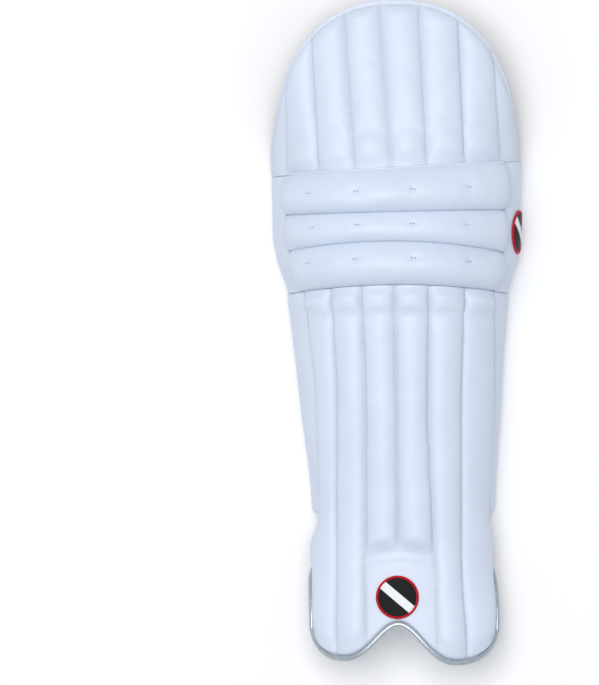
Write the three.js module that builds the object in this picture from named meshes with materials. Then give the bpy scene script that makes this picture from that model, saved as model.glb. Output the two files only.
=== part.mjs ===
// A cricket batting pad for the left leg, lying on its back with the ribbed front up.
// Millimetres. +X is the outer side of the leg, +Y runs from the toe to the top of the pad and +Z from the
// floor to the front. The origin is on the floor under the middle of the pad.
import * as THREE from "three";

// Driving sizes
const PAD_LENGTH = 720;
const SQUARENESS = 2.2; // exponent of the superellipse that every cross section is
const GAP = 0.3; // clearance between neighbouring pieces
const SEAT_GAP = 0.8; // clearance of pieces with longer facets
const SEAM_THICKNESS = 5; // of the padded face along a sewn seam
const LINING_THICKNESS = 5;
const PIPING_RADIUS = 2.5;
const WEBBING = 2.2; // thickness of the strap webbing
const RIB_ROUNDNESS = 0.6; // power of the sine that rounds a padded rib

// Cross sections of the shell line, the surface where the padded face meets the lining, from the toe up.
// middle and half place the arch across the pad, crown and edge are its heights above the floor, and wrap is
// how far round the arch the pad reaches, in degrees from the crown.
const SECTIONS = [
  { name: "toe", y: -360, middle: 8.5, half: 104, crown: 97, edge: 24, wrap: 64 },
  { name: "toe_flare", y: -315, middle: 8.5, half: 104, crown: 94, edge: 22, wrap: 66 },
  { name: "ankle", y: -235, middle: 6, half: 95, crown: 90, edge: 4, wrap: 80 },
  { name: "wing_end", y: -195, middle: 8, half: 93, crown: 92, edge: 0, wrap: 90 },
  { name: "calf", y: -60, middle: 4, half: 103, crown: 102, edge: 0, wrap: 90 },
  { name: "knee_foot", y: 48, middle: 1.5, half: 115.5, crown: 110, edge: 0, wrap: 90 },
  { name: "knee_flare", y: 80, middle: 1, half: 125.5, crown: 113, edge: 0, wrap: 90 },
  { name: "knee_bend", y: 110, middle: 0, half: 130, crown: 114, edge: 0, wrap: 90 },
  { name: "knee_top", y: 180, middle: -0.5, half: 130.5, crown: 111, edge: 6, wrap: 90 },
  { name: "hat_waist", y: 260, middle: -2, half: 139, crown: 104, edge: 20, wrap: 90 },
  { name: "hat_tip", y: 360, middle: -3, half: 150, crown: 92, edge: 28, wrap: 90 },
];

// Where the sewn seams between the six shin ribs cross four heights. a is on the inner side, g on the outer.
const SHIN_SEAMS = [
  { name: "toe", y: -345, a: -84, b: -66, c: -32, d: 2, e: 41, f: 76, g: 100 },
  { name: "ankle", y: -230, a: -82, b: -65, c: -34, d: 1, e: 39, f: 69, g: 98 },
  { name: "calf", y: -73, a: -86, b: -65, c: -35, d: -1, e: 33, f: 69, g: 104 },
  { name: "knee", y: 48, a: -101, b: -73, c: -40, d: -4, e: 34, f: 73, g: 105 },
];
const SEAM_NAMES = ["a", "b", "c", "d", "e", "f", "g"];
const SHIN = {
  ribs: SEAM_NAMES.length - 1,
  ribColumns: 4,
  rows: [6, 9, 2], // from the toe to the hip, to the crease and to the knee
  rise: 10, // of a rib above its seams
  hip: -201, // below this height the face spreads out into the toe lobes
  hipLength: 40,
  crease: 18, // height of the soft fold under the ribs' puffed heads
  creaseLength: 9,
  creaseShare: 0.35,
  endLength: 24, // over which a rib's ends round off
  endShare: 0.35, // of the rise that is left at the very end
  shortRibs: [2, 3], // these stop above the flat instep panel
  shortEnd: -245,
  shortFade: 14,
};
const WING = { end: -197, seamGap: 0.5, rise: 4, endRoundness: 0.3, edgeExtra: 1.5, columns: 4, rows: 12 };

// The toe edge in front view: two round lobes with an arch for the instep between them.
const TOE = {
  innerLobe: { x: -61, y: -350.5, cornerWidth: 30, cornerHeight: 30 },
  outerLobe: { x: 67, y: -355, cornerWidth: 41, cornerHeight: 33 },
  archX: 1,
  archY: -312.5,
  archSharpness: 1.3,
};

// Lines across the knee, from its foot to the top hat: height in the middle, and the change towards the outer
// side (tilt) and towards both sides (droop) over the whole half width.
const KNEE_LINES = {
  foot: { middle: 52.8, tilt: 0.3, droop: -9.5 },
  lower: { middle: 99.7, tilt: -1.2, droop: -15 },
  upper: { middle: 131.5, tilt: 3.3, droop: 0 },
  hat: { middle: 179, tilt: 8.4, droop: 1 },
};
const KNEE_ROLLS = [
  { name: "knee_roll_lower", from: "foot", to: "lower", rise: 17 },
  { name: "knee_roll_middle", from: "lower", to: "upper", rise: 12 },
  { name: "knee_roll_upper", from: "upper", to: "hat", rise: 17 },
];
const ROLL = {
  base: 7, // thickness along its seams
  roundness: 0.7,
  innerEnd: -0.885, // its ends, as shares of the half width
  outerEnd: 0.865,
  cornerShare: 0.06, // length of a rounded corner, of the half width
  endHeight: 0.72, // share of the height that is left at the very end
  columns: 16,
  rows: 6,
};
const SIDE_ROLLS = [
  { name: "knee_side_roll_inner", side: -1, rise: 1.5 },
  { name: "knee_side_roll_outer", side: 1, rise: 3 },
];
const SIDE_ROLL = { base: 5, endGap: 0.005, columns: 5, rows: 9 };

// The top hat: a dome outline, with seams that run straight up to it.
const DOME = { x: -2, y: 178, halfWidth: 137, height: PAD_LENGTH / 2 - 178, exponent: 2.35, sideTop: 215 };
const HAT_SEAMS = [
  { bottom: -119, top: -121 },
  { bottom: -86, top: -94 },
  { bottom: -47, top: -59 },
  { bottom: -6.5, top: -20 },
  { bottom: 32, top: 23 },
  { bottom: 73, top: 66 },
  { bottom: 112, top: 103.5 },
];
const HAT = {
  innerSide: -137,
  outerSide: 134.5,
  ribs: HAT_SEAMS.length + 1,
  ribColumns: 4,
  rows: 9,
  rise: 8,
  sideRibShare: 0.4, // of the rise, for the first and the last rib
  rim: 3, // thickness of the sewn rim
  endLength: 0.12, // share of a rib's length over which it thins
  dent: 0.22, // where a soft dent crosses the ribs, and how long and deep it is
  dentLength: 0.06,
  dentShare: 0.3,
  lining: 9,
  liningColumns: 16,
  liningRows: 8,
};
const LINING_GRID = { columns: 18, rows: [6, 9, 2, 7], toeInset: 1 };

// Cushions on the inside. bottom and top are heights; the other columns are the ends of each cushion at those
// heights as shares of the half width, with the inner side of the leg negative.
const CUSHIONS = [
  { name: "knee_cushion_outer", bottom: 47, top: 175, low: [0.25, 0.94], high: [0.25, 0.94], rise: 24 },
  { name: "knee_cushion_centre", bottom: 43, top: 172, low: [-0.38, 0.15], high: [-0.47, 0.23], rise: 29 },
  { name: "knee_cushion_inner", bottom: 47, top: 166, low: [-0.94, -0.42], high: [-0.94, -0.49], rise: 24 },
  { name: "shin_bolster_outer", bottom: -238, top: 41, low: [0.17, 0.76], high: [0.17, 0.76], rise: 29 },
  { name: "shin_bolster_inner", bottom: -238, top: 41, low: [-0.93, -0.39], high: [-0.93, -0.39], rise: 29 },
  { name: "shin_strip", bottom: -238, top: 39, low: [-0.37, 0.15], high: [-0.37, 0.15], rise: 7 },
];
const CUSHION = { seam: 3, columns: 6, rowLength: 22, endRound: 22 };

// Elastic straps across the open back. slant is the rise along the pad per millimetre towards the outer side,
// clearance the height above the edges that it spans, and inset the place of its ring from the outer lining.
const STRAPS = [
  { name: "knee_strap", y: 74, width: 41, slant: 0, clearance: 1, inset: 23, tabFold: 6 },
  { name: "calf_strap", y: -73, width: 68, slant: -0.04, clearance: 2.4, inset: 16, tabFold: 8 },
  { name: "ankle_strap", y: -264, width: 32, slant: -0.05, clearance: 2, inset: 24, tabFold: 6 },
];
const STRAP = { sewnDegrees: 11, fold: 42, spans: 6, tabSpans: 2, rows: 2, seat: -LINING_THICKNESS - 1.2 };
const RING = {
  length: 25,
  margin: 4.6, // beyond the strap on each side
  thickness: 2.8,
  centreBar: 5,
  slot: 3.6,
  slotRound: 1,
  exponent: 3, // of its superellipse outline
  points: 20,
};
const PATCH = { from: -84, to: 30, width: 61, slope: 18, thickness: 1.2 };

// Oval badges. The side badge is placed by its angle round the outer side roll.
const BADGE_CELLS = 5;
const SHIN_BADGE = { x: 0, y: -286, halfWidth: 23, halfHeight: 23.5, thickness: 3 };
const HAT_BADGE = { x: -2, y: 268, halfWidth: 38, halfHeight: 42, thickness: 4 };
const SIDE_BADGE = { degrees: 76, y: 111, halfDegrees: 11, halfHeight: 24, thickness: 2 };
const PIPING = { steps: 36, sides: 6, startBelowHip: 44, sideSpan: 0.35, tangentStep: 0.03, gap: 1.2 };

const finish = (color, roughness, metalness = 0) =>
  new THREE.MeshStandardMaterial({ color, roughness, metalness });
const WHITE_LEATHER = finish(0xe4e9f2, 0.5);
const WHITE_LINING = finish(0xdfe6ee, 0.55);
const BLACK_PRINT = finish(0x1b1a1c, 0.5);
const RED_PRINT = finish(0xe01a2b, 0.5);
const RED_MESH = finish(0xd9738a, 0.85);
const STRAP_WEBBING = finish(0xe8eaee, 0.8);
const RING_PLASTIC = finish(0xf0f1f4, 0.35);
const SILVER_PIPING = finish(0x9aa3ab, 0.35, 0.2);
const BADGE_RUBBER = finish(0x17171a, 0.4);

const mix = THREE.MathUtils.lerp;
const clamp = THREE.MathUtils.clamp;
const radians = THREE.MathUtils.degToRad;
const ease = (t) => THREE.MathUtils.smoothstep(t, 0, 1);
const signedPower = (value, power) => Math.sign(value) * Math.abs(value) ** power;
const hump = (p, power) => Math.max(0, Math.sin(Math.PI * p)) ** power;
const bell = (t) => Math.exp(-t * t);

// One column of a table at height y: monotone cubic interpolation, which keeps level stretches level.
function along(rows, column, y) {
  const last = rows.length - 1;
  const height = clamp(y, rows[0].y, rows[last].y);
  const above = rows.findIndex((row) => row.y > height);
  const k = above < 0 ? last - 1 : above - 1;
  const secant = (i) => (rows[i + 1][column] - rows[i][column]) / (rows[i + 1].y - rows[i].y);
  const slope = (i) => {
    const before = secant(Math.max(i - 1, 0));
    const after = secant(Math.min(i, last - 1));
    return before * after <= 0 ? 0 : (2 * before * after) / (before + after);
  };
  const step = rows[k + 1].y - rows[k].y;
  const t = (height - rows[k].y) / step;
  const here = (1 + 2 * t) * (1 - t) ** 2 * rows[k][column] + t * (1 - t) ** 2 * step * slope(k);
  return here + t * t * (3 - 2 * t) * rows[k + 1][column] + t * t * (t - 1) * step * slope(k + 1);
}

const section = (column, y) => along(SECTIONS, column, y);
const shareOf = (angle) => signedPower(Math.sin(angle), 2 / SQUARENESS);
const angleOf = (share) => Math.asin(signedPower(clamp(share, -1, 1), SQUARENESS / 2));
const angleAt = (y, x, out) => angleOf((x - section("middle", y)) / (section("half", y) + out));
const wrapAngle = (y) => radians(section("wrap", y));

// A point of the pad: height y, angle round the arch from its crown, and distance out from the shell line.
function shell(y, angle, out) {
  const edge = section("edge", y);
  const up = Math.max(0, Math.cos(angle)) ** (2 / SQUARENESS);
  const x = section("middle", y) + (section("half", y) + out) * shareOf(angle);
  return new THREE.Vector3(x, y, edge + (section("crown", y) - edge + out) * up);
}

// A closed sheet between a front and a back grid of points. Columns run towards +X and rows towards +Y.
function slab(columns, rows, front, back) {
  const positions = [];
  for (const layer of [front, back]) {
    for (let j = 0; j <= rows; j++) {
      for (let i = 0; i <= columns; i++) positions.push(...layer(i / columns, j / rows).toArray());
    }
  }
  const faces = [];
  const f = (i, j) => j * (columns + 1) + i;
  const b = (i, j) => f(i, j) + (rows + 1) * (columns + 1);
  const quad = (p, q, r, s) => faces.push(p, q, r, p, r, s);
  for (let j = 0; j < rows; j++) {
    for (let i = 0; i < columns; i++) {
      quad(f(i, j), f(i + 1, j), f(i + 1, j + 1), f(i, j + 1));
      quad(b(i, j), b(i, j + 1), b(i + 1, j + 1), b(i + 1, j));
    }
    quad(b(0, j + 1), b(0, j), f(0, j), f(0, j + 1));
    quad(b(columns, j), b(columns, j + 1), f(columns, j + 1), f(columns, j));
  }
  for (let i = 0; i < columns; i++) {
    quad(b(i, 0), b(i + 1, 0), f(i + 1, 0), f(i, 0));
    quad(b(i + 1, rows), b(i, rows), f(i, rows), f(i + 1, rows));
  }
  return new THREE.BufferGeometry()
    .setAttribute("position", new THREE.Float32BufferAttribute(positions, 3))
    .setIndex(faces);
}

const pad = new THREE.Group();

function addPiece(name, geometry, material) {
  const mesh = new THREE.Mesh(geometry, material.clone());
  mesh.name = name;
  pad.add(mesh);
}

function kneeLine(name, share) {
  const { middle, tilt, droop } = KNEE_LINES[name];
  return middle + tilt * share + droop * share * share;
}

// Height of the toe edge at x: a raised cosine between the lobes, and a quarter ellipse outside each.
function toeLine(x) {
  const { innerLobe, outerLobe, archX, archY, archSharpness } = TOE;
  const lobe = x < archX ? innerLobe : outerLobe;
  const t = (x - archX) / (lobe.x - archX);
  if (t <= 1) return lobe.y + (archY - lobe.y) * ((1 + Math.cos(Math.PI * t)) / 2) ** archSharpness;
  const beyond = clamp(Math.abs(x - lobe.x) / lobe.cornerWidth, 0, 1);
  return lobe.y + lobe.cornerHeight * (1 - Math.sqrt(1 - beyond * beyond));
}

const TOE_HEIGHT = SHIN_SEAMS[0].y;
const KNEE_HEIGHT = SHIN_SEAMS[SHIN_SEAMS.length - 1].y;
const toeOfAngle = (angle) => toeLine(shell(TOE_HEIGHT, angle, SEAM_THICKNESS).x);

// Angle of a shin seam. Below the hip the two outermost seams spread to the edges of the toe lobes.
function seamAngle(index, y) {
  const seam = angleAt(y, along(SHIN_SEAMS, SEAM_NAMES[index], y), SEAM_THICKNESS);
  if (index > 0 && index < SHIN.ribs) return seam;
  return mix(seam, Math.sign(index - 1) * wrapAngle(y), ease((SHIN.hip - y) / SHIN.hipLength));
}

function ribAngle(u, y) {
  const rib = Math.min(Math.floor(u * SHIN.ribs), SHIN.ribs - 1);
  return mix(seamAngle(rib, y), seamAngle(rib + 1, y), u * SHIN.ribs - rib);
}

const total = (counts) => counts.reduce((sum, count) => sum + count);

// Height of a row, counted up through stretches that each have their own number of rows.
function rowHeight(v, rows, heights) {
  let row = v * total(rows);
  let k = 0;
  while (k < rows.length - 1 && row > rows[k]) row -= rows[k++];
  return mix(heights[k], heights[k + 1], row / rows[k]);
}

// Thickness of the ribbed shin face: the seam's, plus a round rib that fades at both ends.
function shinThickness(place, y, toe, top) {
  const rib = Math.min(Math.floor(place), SHIN.ribs - 1);
  const fade = (distance) => mix(SHIN.endShare, 1, ease(distance / SHIN.endLength));
  const instep = SHIN.shortRibs.includes(rib) ? ease((y - SHIN.shortEnd) / SHIN.shortFade) : 1;
  const crease = 1 - SHIN.creaseShare * bell((y - SHIN.crease) / SHIN.creaseLength);
  const fullness = fade(y - toe) * fade(top - y) * instep * crease;
  return SEAM_THICKNESS + SHIN.rise * hump(place - rib, RIB_ROUNDNESS) * fullness;
}

function addShinFace() {
  const point = (u, v, thickness) => {
    const toe = toeOfAngle(ribAngle(u, TOE_HEIGHT));
    const top = kneeLine("foot", shareOf(ribAngle(u, KNEE_HEIGHT))) - GAP;
    const y = rowHeight(v, SHIN.rows, [toe, SHIN.hip, SHIN.crease, top]);
    return shell(y, ribAngle(u, y), thickness(u * SHIN.ribs, y, toe, top));
  };
  const front = (u, v) => point(u, v, shinThickness);
  const back = (u, v) => point(u, v, () => GAP / 2);
  addPiece("shin_face", slab(SHIN.ribs * SHIN.ribColumns, total(SHIN.rows), front, back), WHITE_LEATHER);
}

// A side wing, from the outermost seam to the rear edge that the pad rests on.
function addWing(name, side) {
  const seam = side < 0 ? 0 : SHIN.ribs;
  const angle = (reach, y) => {
    const seamSide = seamAngle(seam, y) + (side * WING.seamGap) / section("half", y);
    return mix(seamSide, side * wrapAngle(y), reach);
  };
  const point = (u, v, thickness) => {
    const reach = side < 0 ? 1 - u : u; // 0 at the seam and 1 at the rear edge
    const top = kneeLine("foot", shareOf(angle(reach, KNEE_HEIGHT))) - GAP;
    const y = mix(WING.end, top, v);
    return shell(y, angle(reach, y), thickness(reach, v));
  };
  const thickness = (reach, v) => {
    const padding = WING.rise * hump(reach, ROLL.roundness) * hump(v, WING.endRoundness);
    return SEAM_THICKNESS + WING.edgeExtra * reach + padding;
  };
  const front = (u, v) => point(u, v, thickness);
  const back = (u, v) => point(u, v, () => GAP / 2);
  addPiece(name, slab(WING.columns, WING.rows, front, back), WHITE_LEATHER);
}

// The lining behind the shin and knee, one continuous wall from the toe to the top hat.
function addBackLining() {
  const point = (u, v, out) => {
    const turn = (y) => (2 * u - 1) * wrapAngle(y);
    const share = shareOf(turn(KNEE_HEIGHT));
    const toe = toeOfAngle(turn(TOE_HEIGHT)) + LINING_GRID.toeInset;
    const heights = [toe, SHIN.hip, SHIN.crease, kneeLine("foot", share), kneeLine("hat", share) - GAP];
    const y = rowHeight(v, LINING_GRID.rows, heights);
    return shell(y, turn(y), out);
  };
  const front = (u, v) => point(u, v, -2 * GAP);
  const back = (u, v) => point(u, v, -LINING_THICKNESS);
  addPiece("back_lining", slab(LINING_GRID.columns, total(LINING_GRID.rows), front, back), WHITE_LINING);
}

// One roll across the knee: a bent sausage with a flat back and rounded corners.
function addKneeRoll({ name, from, to, rise }) {
  const point = (u, v, thickness) => {
    const share = mix(ROLL.innerEnd, ROLL.outerEnd, u);
    const toEnd = Math.min(share - ROLL.innerEnd, ROLL.outerEnd - share);
    const corner = clamp(1 - toEnd / ROLL.cornerShare, 0, 1);
    const fullness = mix(ROLL.endHeight, 1, Math.sqrt(1 - corner * corner));
    const low = kneeLine(from, share) + GAP;
    const high = kneeLine(to, share) - GAP;
    const y = (low + high) / 2 + (v - 0.5) * (high - low) * fullness;
    return shell(y, angleOf(share), thickness(v, fullness));
  };
  const thickness = (across, fullness) => ROLL.base + rise * hump(across, ROLL.roundness) * fullness;
  const front = (u, v) => point(u, v, thickness);
  const back = (u, v) => point(u, v, () => GAP / 2);
  addPiece(name, slab(ROLL.columns, ROLL.rows, front, back), WHITE_LEATHER);
}

const sideRollStart = (side) =>
  angleOf(side < 0 ? ROLL.innerEnd - SIDE_ROLL.endGap : ROLL.outerEnd + SIDE_ROLL.endGap);
const sideRollThickness = (reach, rise) => SIDE_ROLL.base + rise * hump(reach, ROLL.roundness);

// A roll up the side of the knee, from the knee rolls' ends to the rear edge.
function addSideRoll({ name, side, rise }) {
  const point = (u, v, thickness) => {
    const reach = side < 0 ? 1 - u : u; // 0 beside the knee rolls and 1 at the rear edge
    const angle = mix(sideRollStart(side), (side * Math.PI) / 2, reach);
    const y = mix(kneeLine("foot", shareOf(angle)) + GAP, kneeLine("hat", shareOf(angle)) - GAP, v);
    return shell(y, angle, thickness(reach, rise));
  };
  const front = (u, v) => point(u, v, sideRollThickness);
  const back = (u, v) => point(u, v, () => GAP / 2);
  addPiece(name, slab(SIDE_ROLL.columns, SIDE_ROLL.rows, front, back), WHITE_LEATHER);
}

// A point of the dome outline, by its turn from the inner side (0) over the top to the outer side (pi).
function domePoint(turn) {
  const power = 2 / DOME.exponent;
  const x = DOME.x - DOME.halfWidth * signedPower(Math.cos(turn), power);
  return { x, y: DOME.y + DOME.height * Math.max(0, Math.sin(turn)) ** power };
}

const domeTurn = (x) => Math.acos(signedPower((DOME.x - x) / DOME.halfWidth, DOME.exponent / 2));
const SIDE_TURN = Math.asin(((DOME.sideTop - DOME.y) / DOME.height) ** (DOME.exponent / 2));
const HAT_BOTTOMS = [HAT.innerSide, ...HAT_SEAMS.map((seam) => seam.bottom), HAT.outerSide];
const HAT_TURNS = [SIDE_TURN, ...HAT_SEAMS.map((seam) => domeTurn(seam.top)), Math.PI - SIDE_TURN];

// A point of the top hat: a column runs straight from the line over the knee up to the dome outline.
function hatPoint(u, v, thickness) {
  const rib = Math.min(Math.floor(u * HAT.ribs), HAT.ribs - 1);
  const p = u * HAT.ribs - rib;
  const bottomX = mix(HAT_BOTTOMS[rib], HAT_BOTTOMS[rib + 1], p);
  const bottomShare = shareOf(angleAt(DOME.y, bottomX, SEAM_THICKNESS));
  const top = domePoint(mix(HAT_TURNS[rib], HAT_TURNS[rib + 1], p));
  const y = mix(kneeLine("hat", bottomShare) + GAP, top.y, v);
  return shell(y, angleAt(y, mix(bottomX, top.x, v), SEAM_THICKNESS), thickness(rib, p, v));
}

// Thickness of the top hat: ribs that thin to a sewn rim along the dome, with a soft dent across them.
function hatThickness(rib, p, v) {
  const sideShare = rib === 0 || rib === HAT.ribs - 1 ? HAT.sideRibShare : 1;
  const foot = mix(SHIN.endShare, 1, ease(v / HAT.endLength));
  const dent = 1 - HAT.dentShare * bell((v - HAT.dent) / HAT.dentLength);
  const ribbed = SEAM_THICKNESS + HAT.rise * sideShare * hump(p, RIB_ROUNDNESS) * foot * dent;
  return mix(HAT.rim, ribbed, ease((1 - v) / HAT.endLength));
}

function addTopHat() {
  const front = (u, v) => hatPoint(u, v, hatThickness);
  const back = (u, v) => hatPoint(u, v, () => GAP / 2);
  addPiece("top_hat", slab(HAT.ribs * HAT.ribColumns, HAT.rows, front, back), WHITE_LEATHER);
  const liningFront = (u, v) => hatPoint(u, v, () => -GAP);
  const liningBack = (u, v) => hatPoint(u, v, () => -HAT.lining);
  addPiece("top_hat_lining", slab(HAT.liningColumns, HAT.liningRows, liningFront, liningBack), BLACK_PRINT);
}

const CUSHION_SEAT = -LINING_THICKNESS - SEAT_GAP;
const cushionMaterial = (name) => {
  if (name === "shin_strip") return BLACK_PRINT;
  if (name === "knee_cushion_centre") return RED_PRINT;
  return name.startsWith("shin_bolster") ? RED_MESH : WHITE_LEATHER;
};

// A cushion sewn to the inside of the lining: flat against it, and round towards the leg.
function addCushion({ name, bottom, top, low, high, rise }) {
  const point = (u, v, out) => {
    const share = mix(mix(low[0], low[1], u), mix(high[0], high[1], u), v);
    return shell(mix(bottom, top, v), angleOf(share), out);
  };
  const thickness = (u, v) => {
    const end = clamp(1 - (Math.min(v, 1 - v) * (top - bottom)) / CUSHION.endRound, 0, 1);
    return CUSHION.seam + rise * hump(u, RIB_ROUNDNESS) * Math.sqrt(1 - end * end);
  };
  const front = (u, v) => point(u, v, CUSHION_SEAT);
  const back = (u, v) => point(u, v, CUSHION_SEAT - thickness(u, v));
  const rows = Math.round((top - bottom) / CUSHION.rowLength) + 2;
  addPiece(name, slab(CUSHION.columns, rows, front, back), cushionMaterial(name));
}

// Height above the floor of a strap's outer face where it crosses the open back.
function strapLevel({ y, width, slant, clearance }) {
  const lowest = y - width / 2 - Math.abs(slant) * section("half", y);
  return shell(lowest, wrapAngle(lowest), -LINING_THICKNESS).z + clearance;
}

// The angle where the surface at a distance out from the shell line comes down to a level.
function angleAtLevel(y, level, out) {
  const edge = section("edge", y);
  const up = (level - edge) / (section("crown", y) - edge + out);
  return Math.acos(clamp(up, 0, 1) ** (SQUARENESS / 2));
}

// A band sewn to the lining on one side. It comes down the lining, crosses at the strap's level to a ring's
// slot, goes up through it and folds back over the ring's outer bar on the leg side.
function addBand(name, strap, side, slotX, fold, spans) {
  const level = strapLevel(strap);
  const loop = RING.thickness + 2 * GAP;
  const stops = spans + 4;
  const point = (u, v, leg) => {
    const stop = Math.round((side < 0 ? u : 1 - u) * stops);
    const y = strap.y + (v - 0.5) * strap.width;
    const wallY = y + strap.slant * side * section("half", y);
    const lift = leg * WEBBING;
    const corner = angleAtLevel(wallY, level + lift, STRAP.seat - lift);
    const sewn = radians(STRAP.sewnDegrees) * Math.max(0, 1 - stop / 2);
    const wall = shell(wallY, side * (corner - sewn), STRAP.seat - lift);
    if (stop < 2) return wall;
    const slotEdge = slotX + side * (leg - 0.5) * WEBBING;
    const x = mix(wall.x, slotEdge, Math.min((stop - 2) / spans, 1));
    const folded = stop > spans + 2;
    const endX = stop === stops ? slotX + side * fold : x;
    const z = folded ? level + WEBBING + loop + (1 - leg) * WEBBING : level + lift;
    return new THREE.Vector3(endX, y + strap.slant * endX, z);
  };
  const legSide = (u, v) => point(u, v, 1);
  const floorSide = (u, v) => point(u, v, 0);
  addPiece(name, slab(stops, STRAP.rows, legSide, floorSide), STRAP_WEBBING);
}

// A strap, the short tab across from it, and the two-slot oval ring that joins them.
function addStrap(strap) {
  const level = strapLevel(strap);
  const outerEdge = shell(strap.y, angleAtLevel(strap.y, level, STRAP.seat), STRAP.seat).x;
  const ringX = outerEdge - strap.inset;
  const slotOffset = (RING.centreBar + RING.slot) / 2;
  addBand(strap.name, strap, -1, ringX - slotOffset, STRAP.fold, STRAP.spans);
  addBand(`${strap.name}_tab`, strap, 1, ringX + slotOffset, strap.tabFold, STRAP.tabSpans);

  const halfX = RING.length / 2;
  const halfY = strap.width / 2 + RING.margin;
  const outline = Array.from({ length: RING.points }, (_, k) => {
    const turn = (2 * Math.PI * k) / RING.points;
    const power = 2 / RING.exponent;
    return new THREE.Vector2(
      halfX * signedPower(Math.cos(turn), power),
      halfY * signedPower(Math.sin(turn), power),
    );
  });
  const shape = new THREE.Shape(outline);
  const slotHalf = strap.width / 2 + GAP;
  for (const side of [-1, 1]) {
    const near = side * slotOffset - RING.slot / 2;
    const far = side * slotOffset + RING.slot / 2;
    const slot = new THREE.Path().moveTo(near, -slotHalf).lineTo(near, slotHalf);
    slot.lineTo(side * slotOffset, slotHalf + RING.slotRound).lineTo(far, slotHalf);
    slot.lineTo(far, -slotHalf).lineTo(side * slotOffset, -slotHalf - RING.slotRound);
    shape.holes.push(slot);
  }
  const ring = new THREE.ExtrudeGeometry(shape, { depth: RING.thickness, bevelEnabled: false });
  ring.translate(ringX, strap.y + strap.slant * ringX, level + WEBBING + GAP);
  addPiece(`${strap.name}_ring`, ring, RING_PLASTIC);
}

// The panel sewn on the calf strap's outer face, with one slanting end and one pointed end.
function addStrapPatch() {
  const strap = STRAPS.find(({ name }) => name === "calf_strap");
  const half = PATCH.width / 2;
  const inner = PATCH.from + PATCH.slope;
  const corners = [
    [PATCH.from, 0],
    [inner, -half],
    [PATCH.to - PATCH.slope, -half],
    [PATCH.to, half],
    [inner, half],
  ];
  const shape = new THREE.Shape(corners.map(([x, y]) => new THREE.Vector2(x, y + strap.slant * x)));
  const patch = new THREE.ExtrudeGeometry(shape, { depth: PATCH.thickness, bevelEnabled: false });
  patch.translate(0, strap.y, strapLevel(strap) - GAP - PATCH.thickness);
  addPiece("calf_strap_patch", patch, STRAP_WEBBING);
}

// An oval badge laid on a curved surface. place(a, b, out) takes the badge's own coordinates, from -1 to 1.
function addBadge(name, thickness, place) {
  const point = (u, v, out) => {
    const [a, b] = [2 * u - 1, 2 * v - 1];
    return place(a * Math.sqrt(1 - (b * b) / 2), b * Math.sqrt(1 - (a * a) / 2), out);
  };
  const front = (u, v) => point(u, v, thickness);
  const back = (u, v) => point(u, v, 0);
  addPiece(name, slab(BADGE_CELLS, BADGE_CELLS, front, back), BADGE_RUBBER);
}

function addBadges() {
  const seated = ({ x, y, halfWidth, halfHeight }, seat) => (a, b, out) => {
    const height = y + b * halfHeight;
    return shell(height, angleAt(height, x + a * halfWidth, SEAM_THICKNESS), seat + out);
  };
  addBadge("shin_badge", SHIN_BADGE.thickness, seated(SHIN_BADGE, SEAM_THICKNESS + GAP));
  const hatSeat = -HAT.lining - SEAT_GAP - HAT_BADGE.thickness;
  addBadge("hat_badge", HAT_BADGE.thickness, seated(HAT_BADGE, hatSeat));
  const start = sideRollStart(1);
  addBadge("side_badge", SIDE_BADGE.thickness, (a, b, out) => {
    const angle = radians(SIDE_BADGE.degrees + a * SIDE_BADGE.halfDegrees);
    const reach = (angle - start) / (Math.PI / 2 - start);
    const seat = sideRollThickness(reach, SIDE_ROLLS[1].rise) + GAP;
    return shell(SIDE_BADGE.y + b * SIDE_BADGE.halfHeight, angle, seat + out);
  });
}

// The piping round the toe: down one lobe's side, along the toe edge and up the other side.
function addToePiping() {
  const end = SHIN.hip - PIPING.startBelowHip;
  const corner = wrapAngle(TOE_HEIGHT);
  const edge = (t) => {
    if (Math.abs(t) <= 1) return shell(toeOfAngle(t * corner), t * corner, 0);
    const y = mix(toeOfAngle(Math.sign(t) * corner), end, (Math.abs(t) - 1) / PIPING.sideSpan);
    return shell(y, Math.sign(t) * wrapAngle(y), 0);
  };
  const centres = Array.from({ length: PIPING.steps + 1 }, (_, k) => {
    const t = mix(-1 - PIPING.sideSpan, 1 + PIPING.sideSpan, k / PIPING.steps);
    const here = edge(t);
    const run = edge(t + PIPING.tangentStep).sub(edge(t - PIPING.tangentStep));
    const outside = shell(here.y, angleAt(here.y, here.x, 0), 1);
    const outward = run.cross(outside.sub(here)).normalize();
    return here.addScaledVector(outward, PIPING_RADIUS + PIPING.gap);
  });
  const ring = Array.from({ length: PIPING.sides }, (_, k) => {
    const turn = (2 * Math.PI * k) / PIPING.sides;
    return new THREE.Vector2(PIPING_RADIUS * Math.cos(turn), PIPING_RADIUS * Math.sin(turn));
  });
  const extrudePath = new THREE.CatmullRomCurve3(centres);
  const options = { steps: PIPING.steps, bevelEnabled: false, extrudePath };
  addPiece("toe_piping", new THREE.ExtrudeGeometry(new THREE.Shape(ring), options), SILVER_PIPING);
}

addTopHat();
KNEE_ROLLS.forEach(addKneeRoll);
SIDE_ROLLS.forEach(addSideRoll);
addShinFace();
addWing("wing_inner", -1);
addWing("wing_outer", 1);
addToePiping();
addBackLining();
CUSHIONS.forEach(addCushion);
STRAPS.forEach(addStrap);
addStrapPatch();
addBadges();

// The origin goes under the middle of the finished pad.
const box = new THREE.Box3().setFromObject(pad);
const middle = box.getCenter(new THREE.Vector3());
pad.children.forEach((piece) => piece.geometry.translate(-middle.x, -middle.y, -box.min.z));

export default pad;
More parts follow.
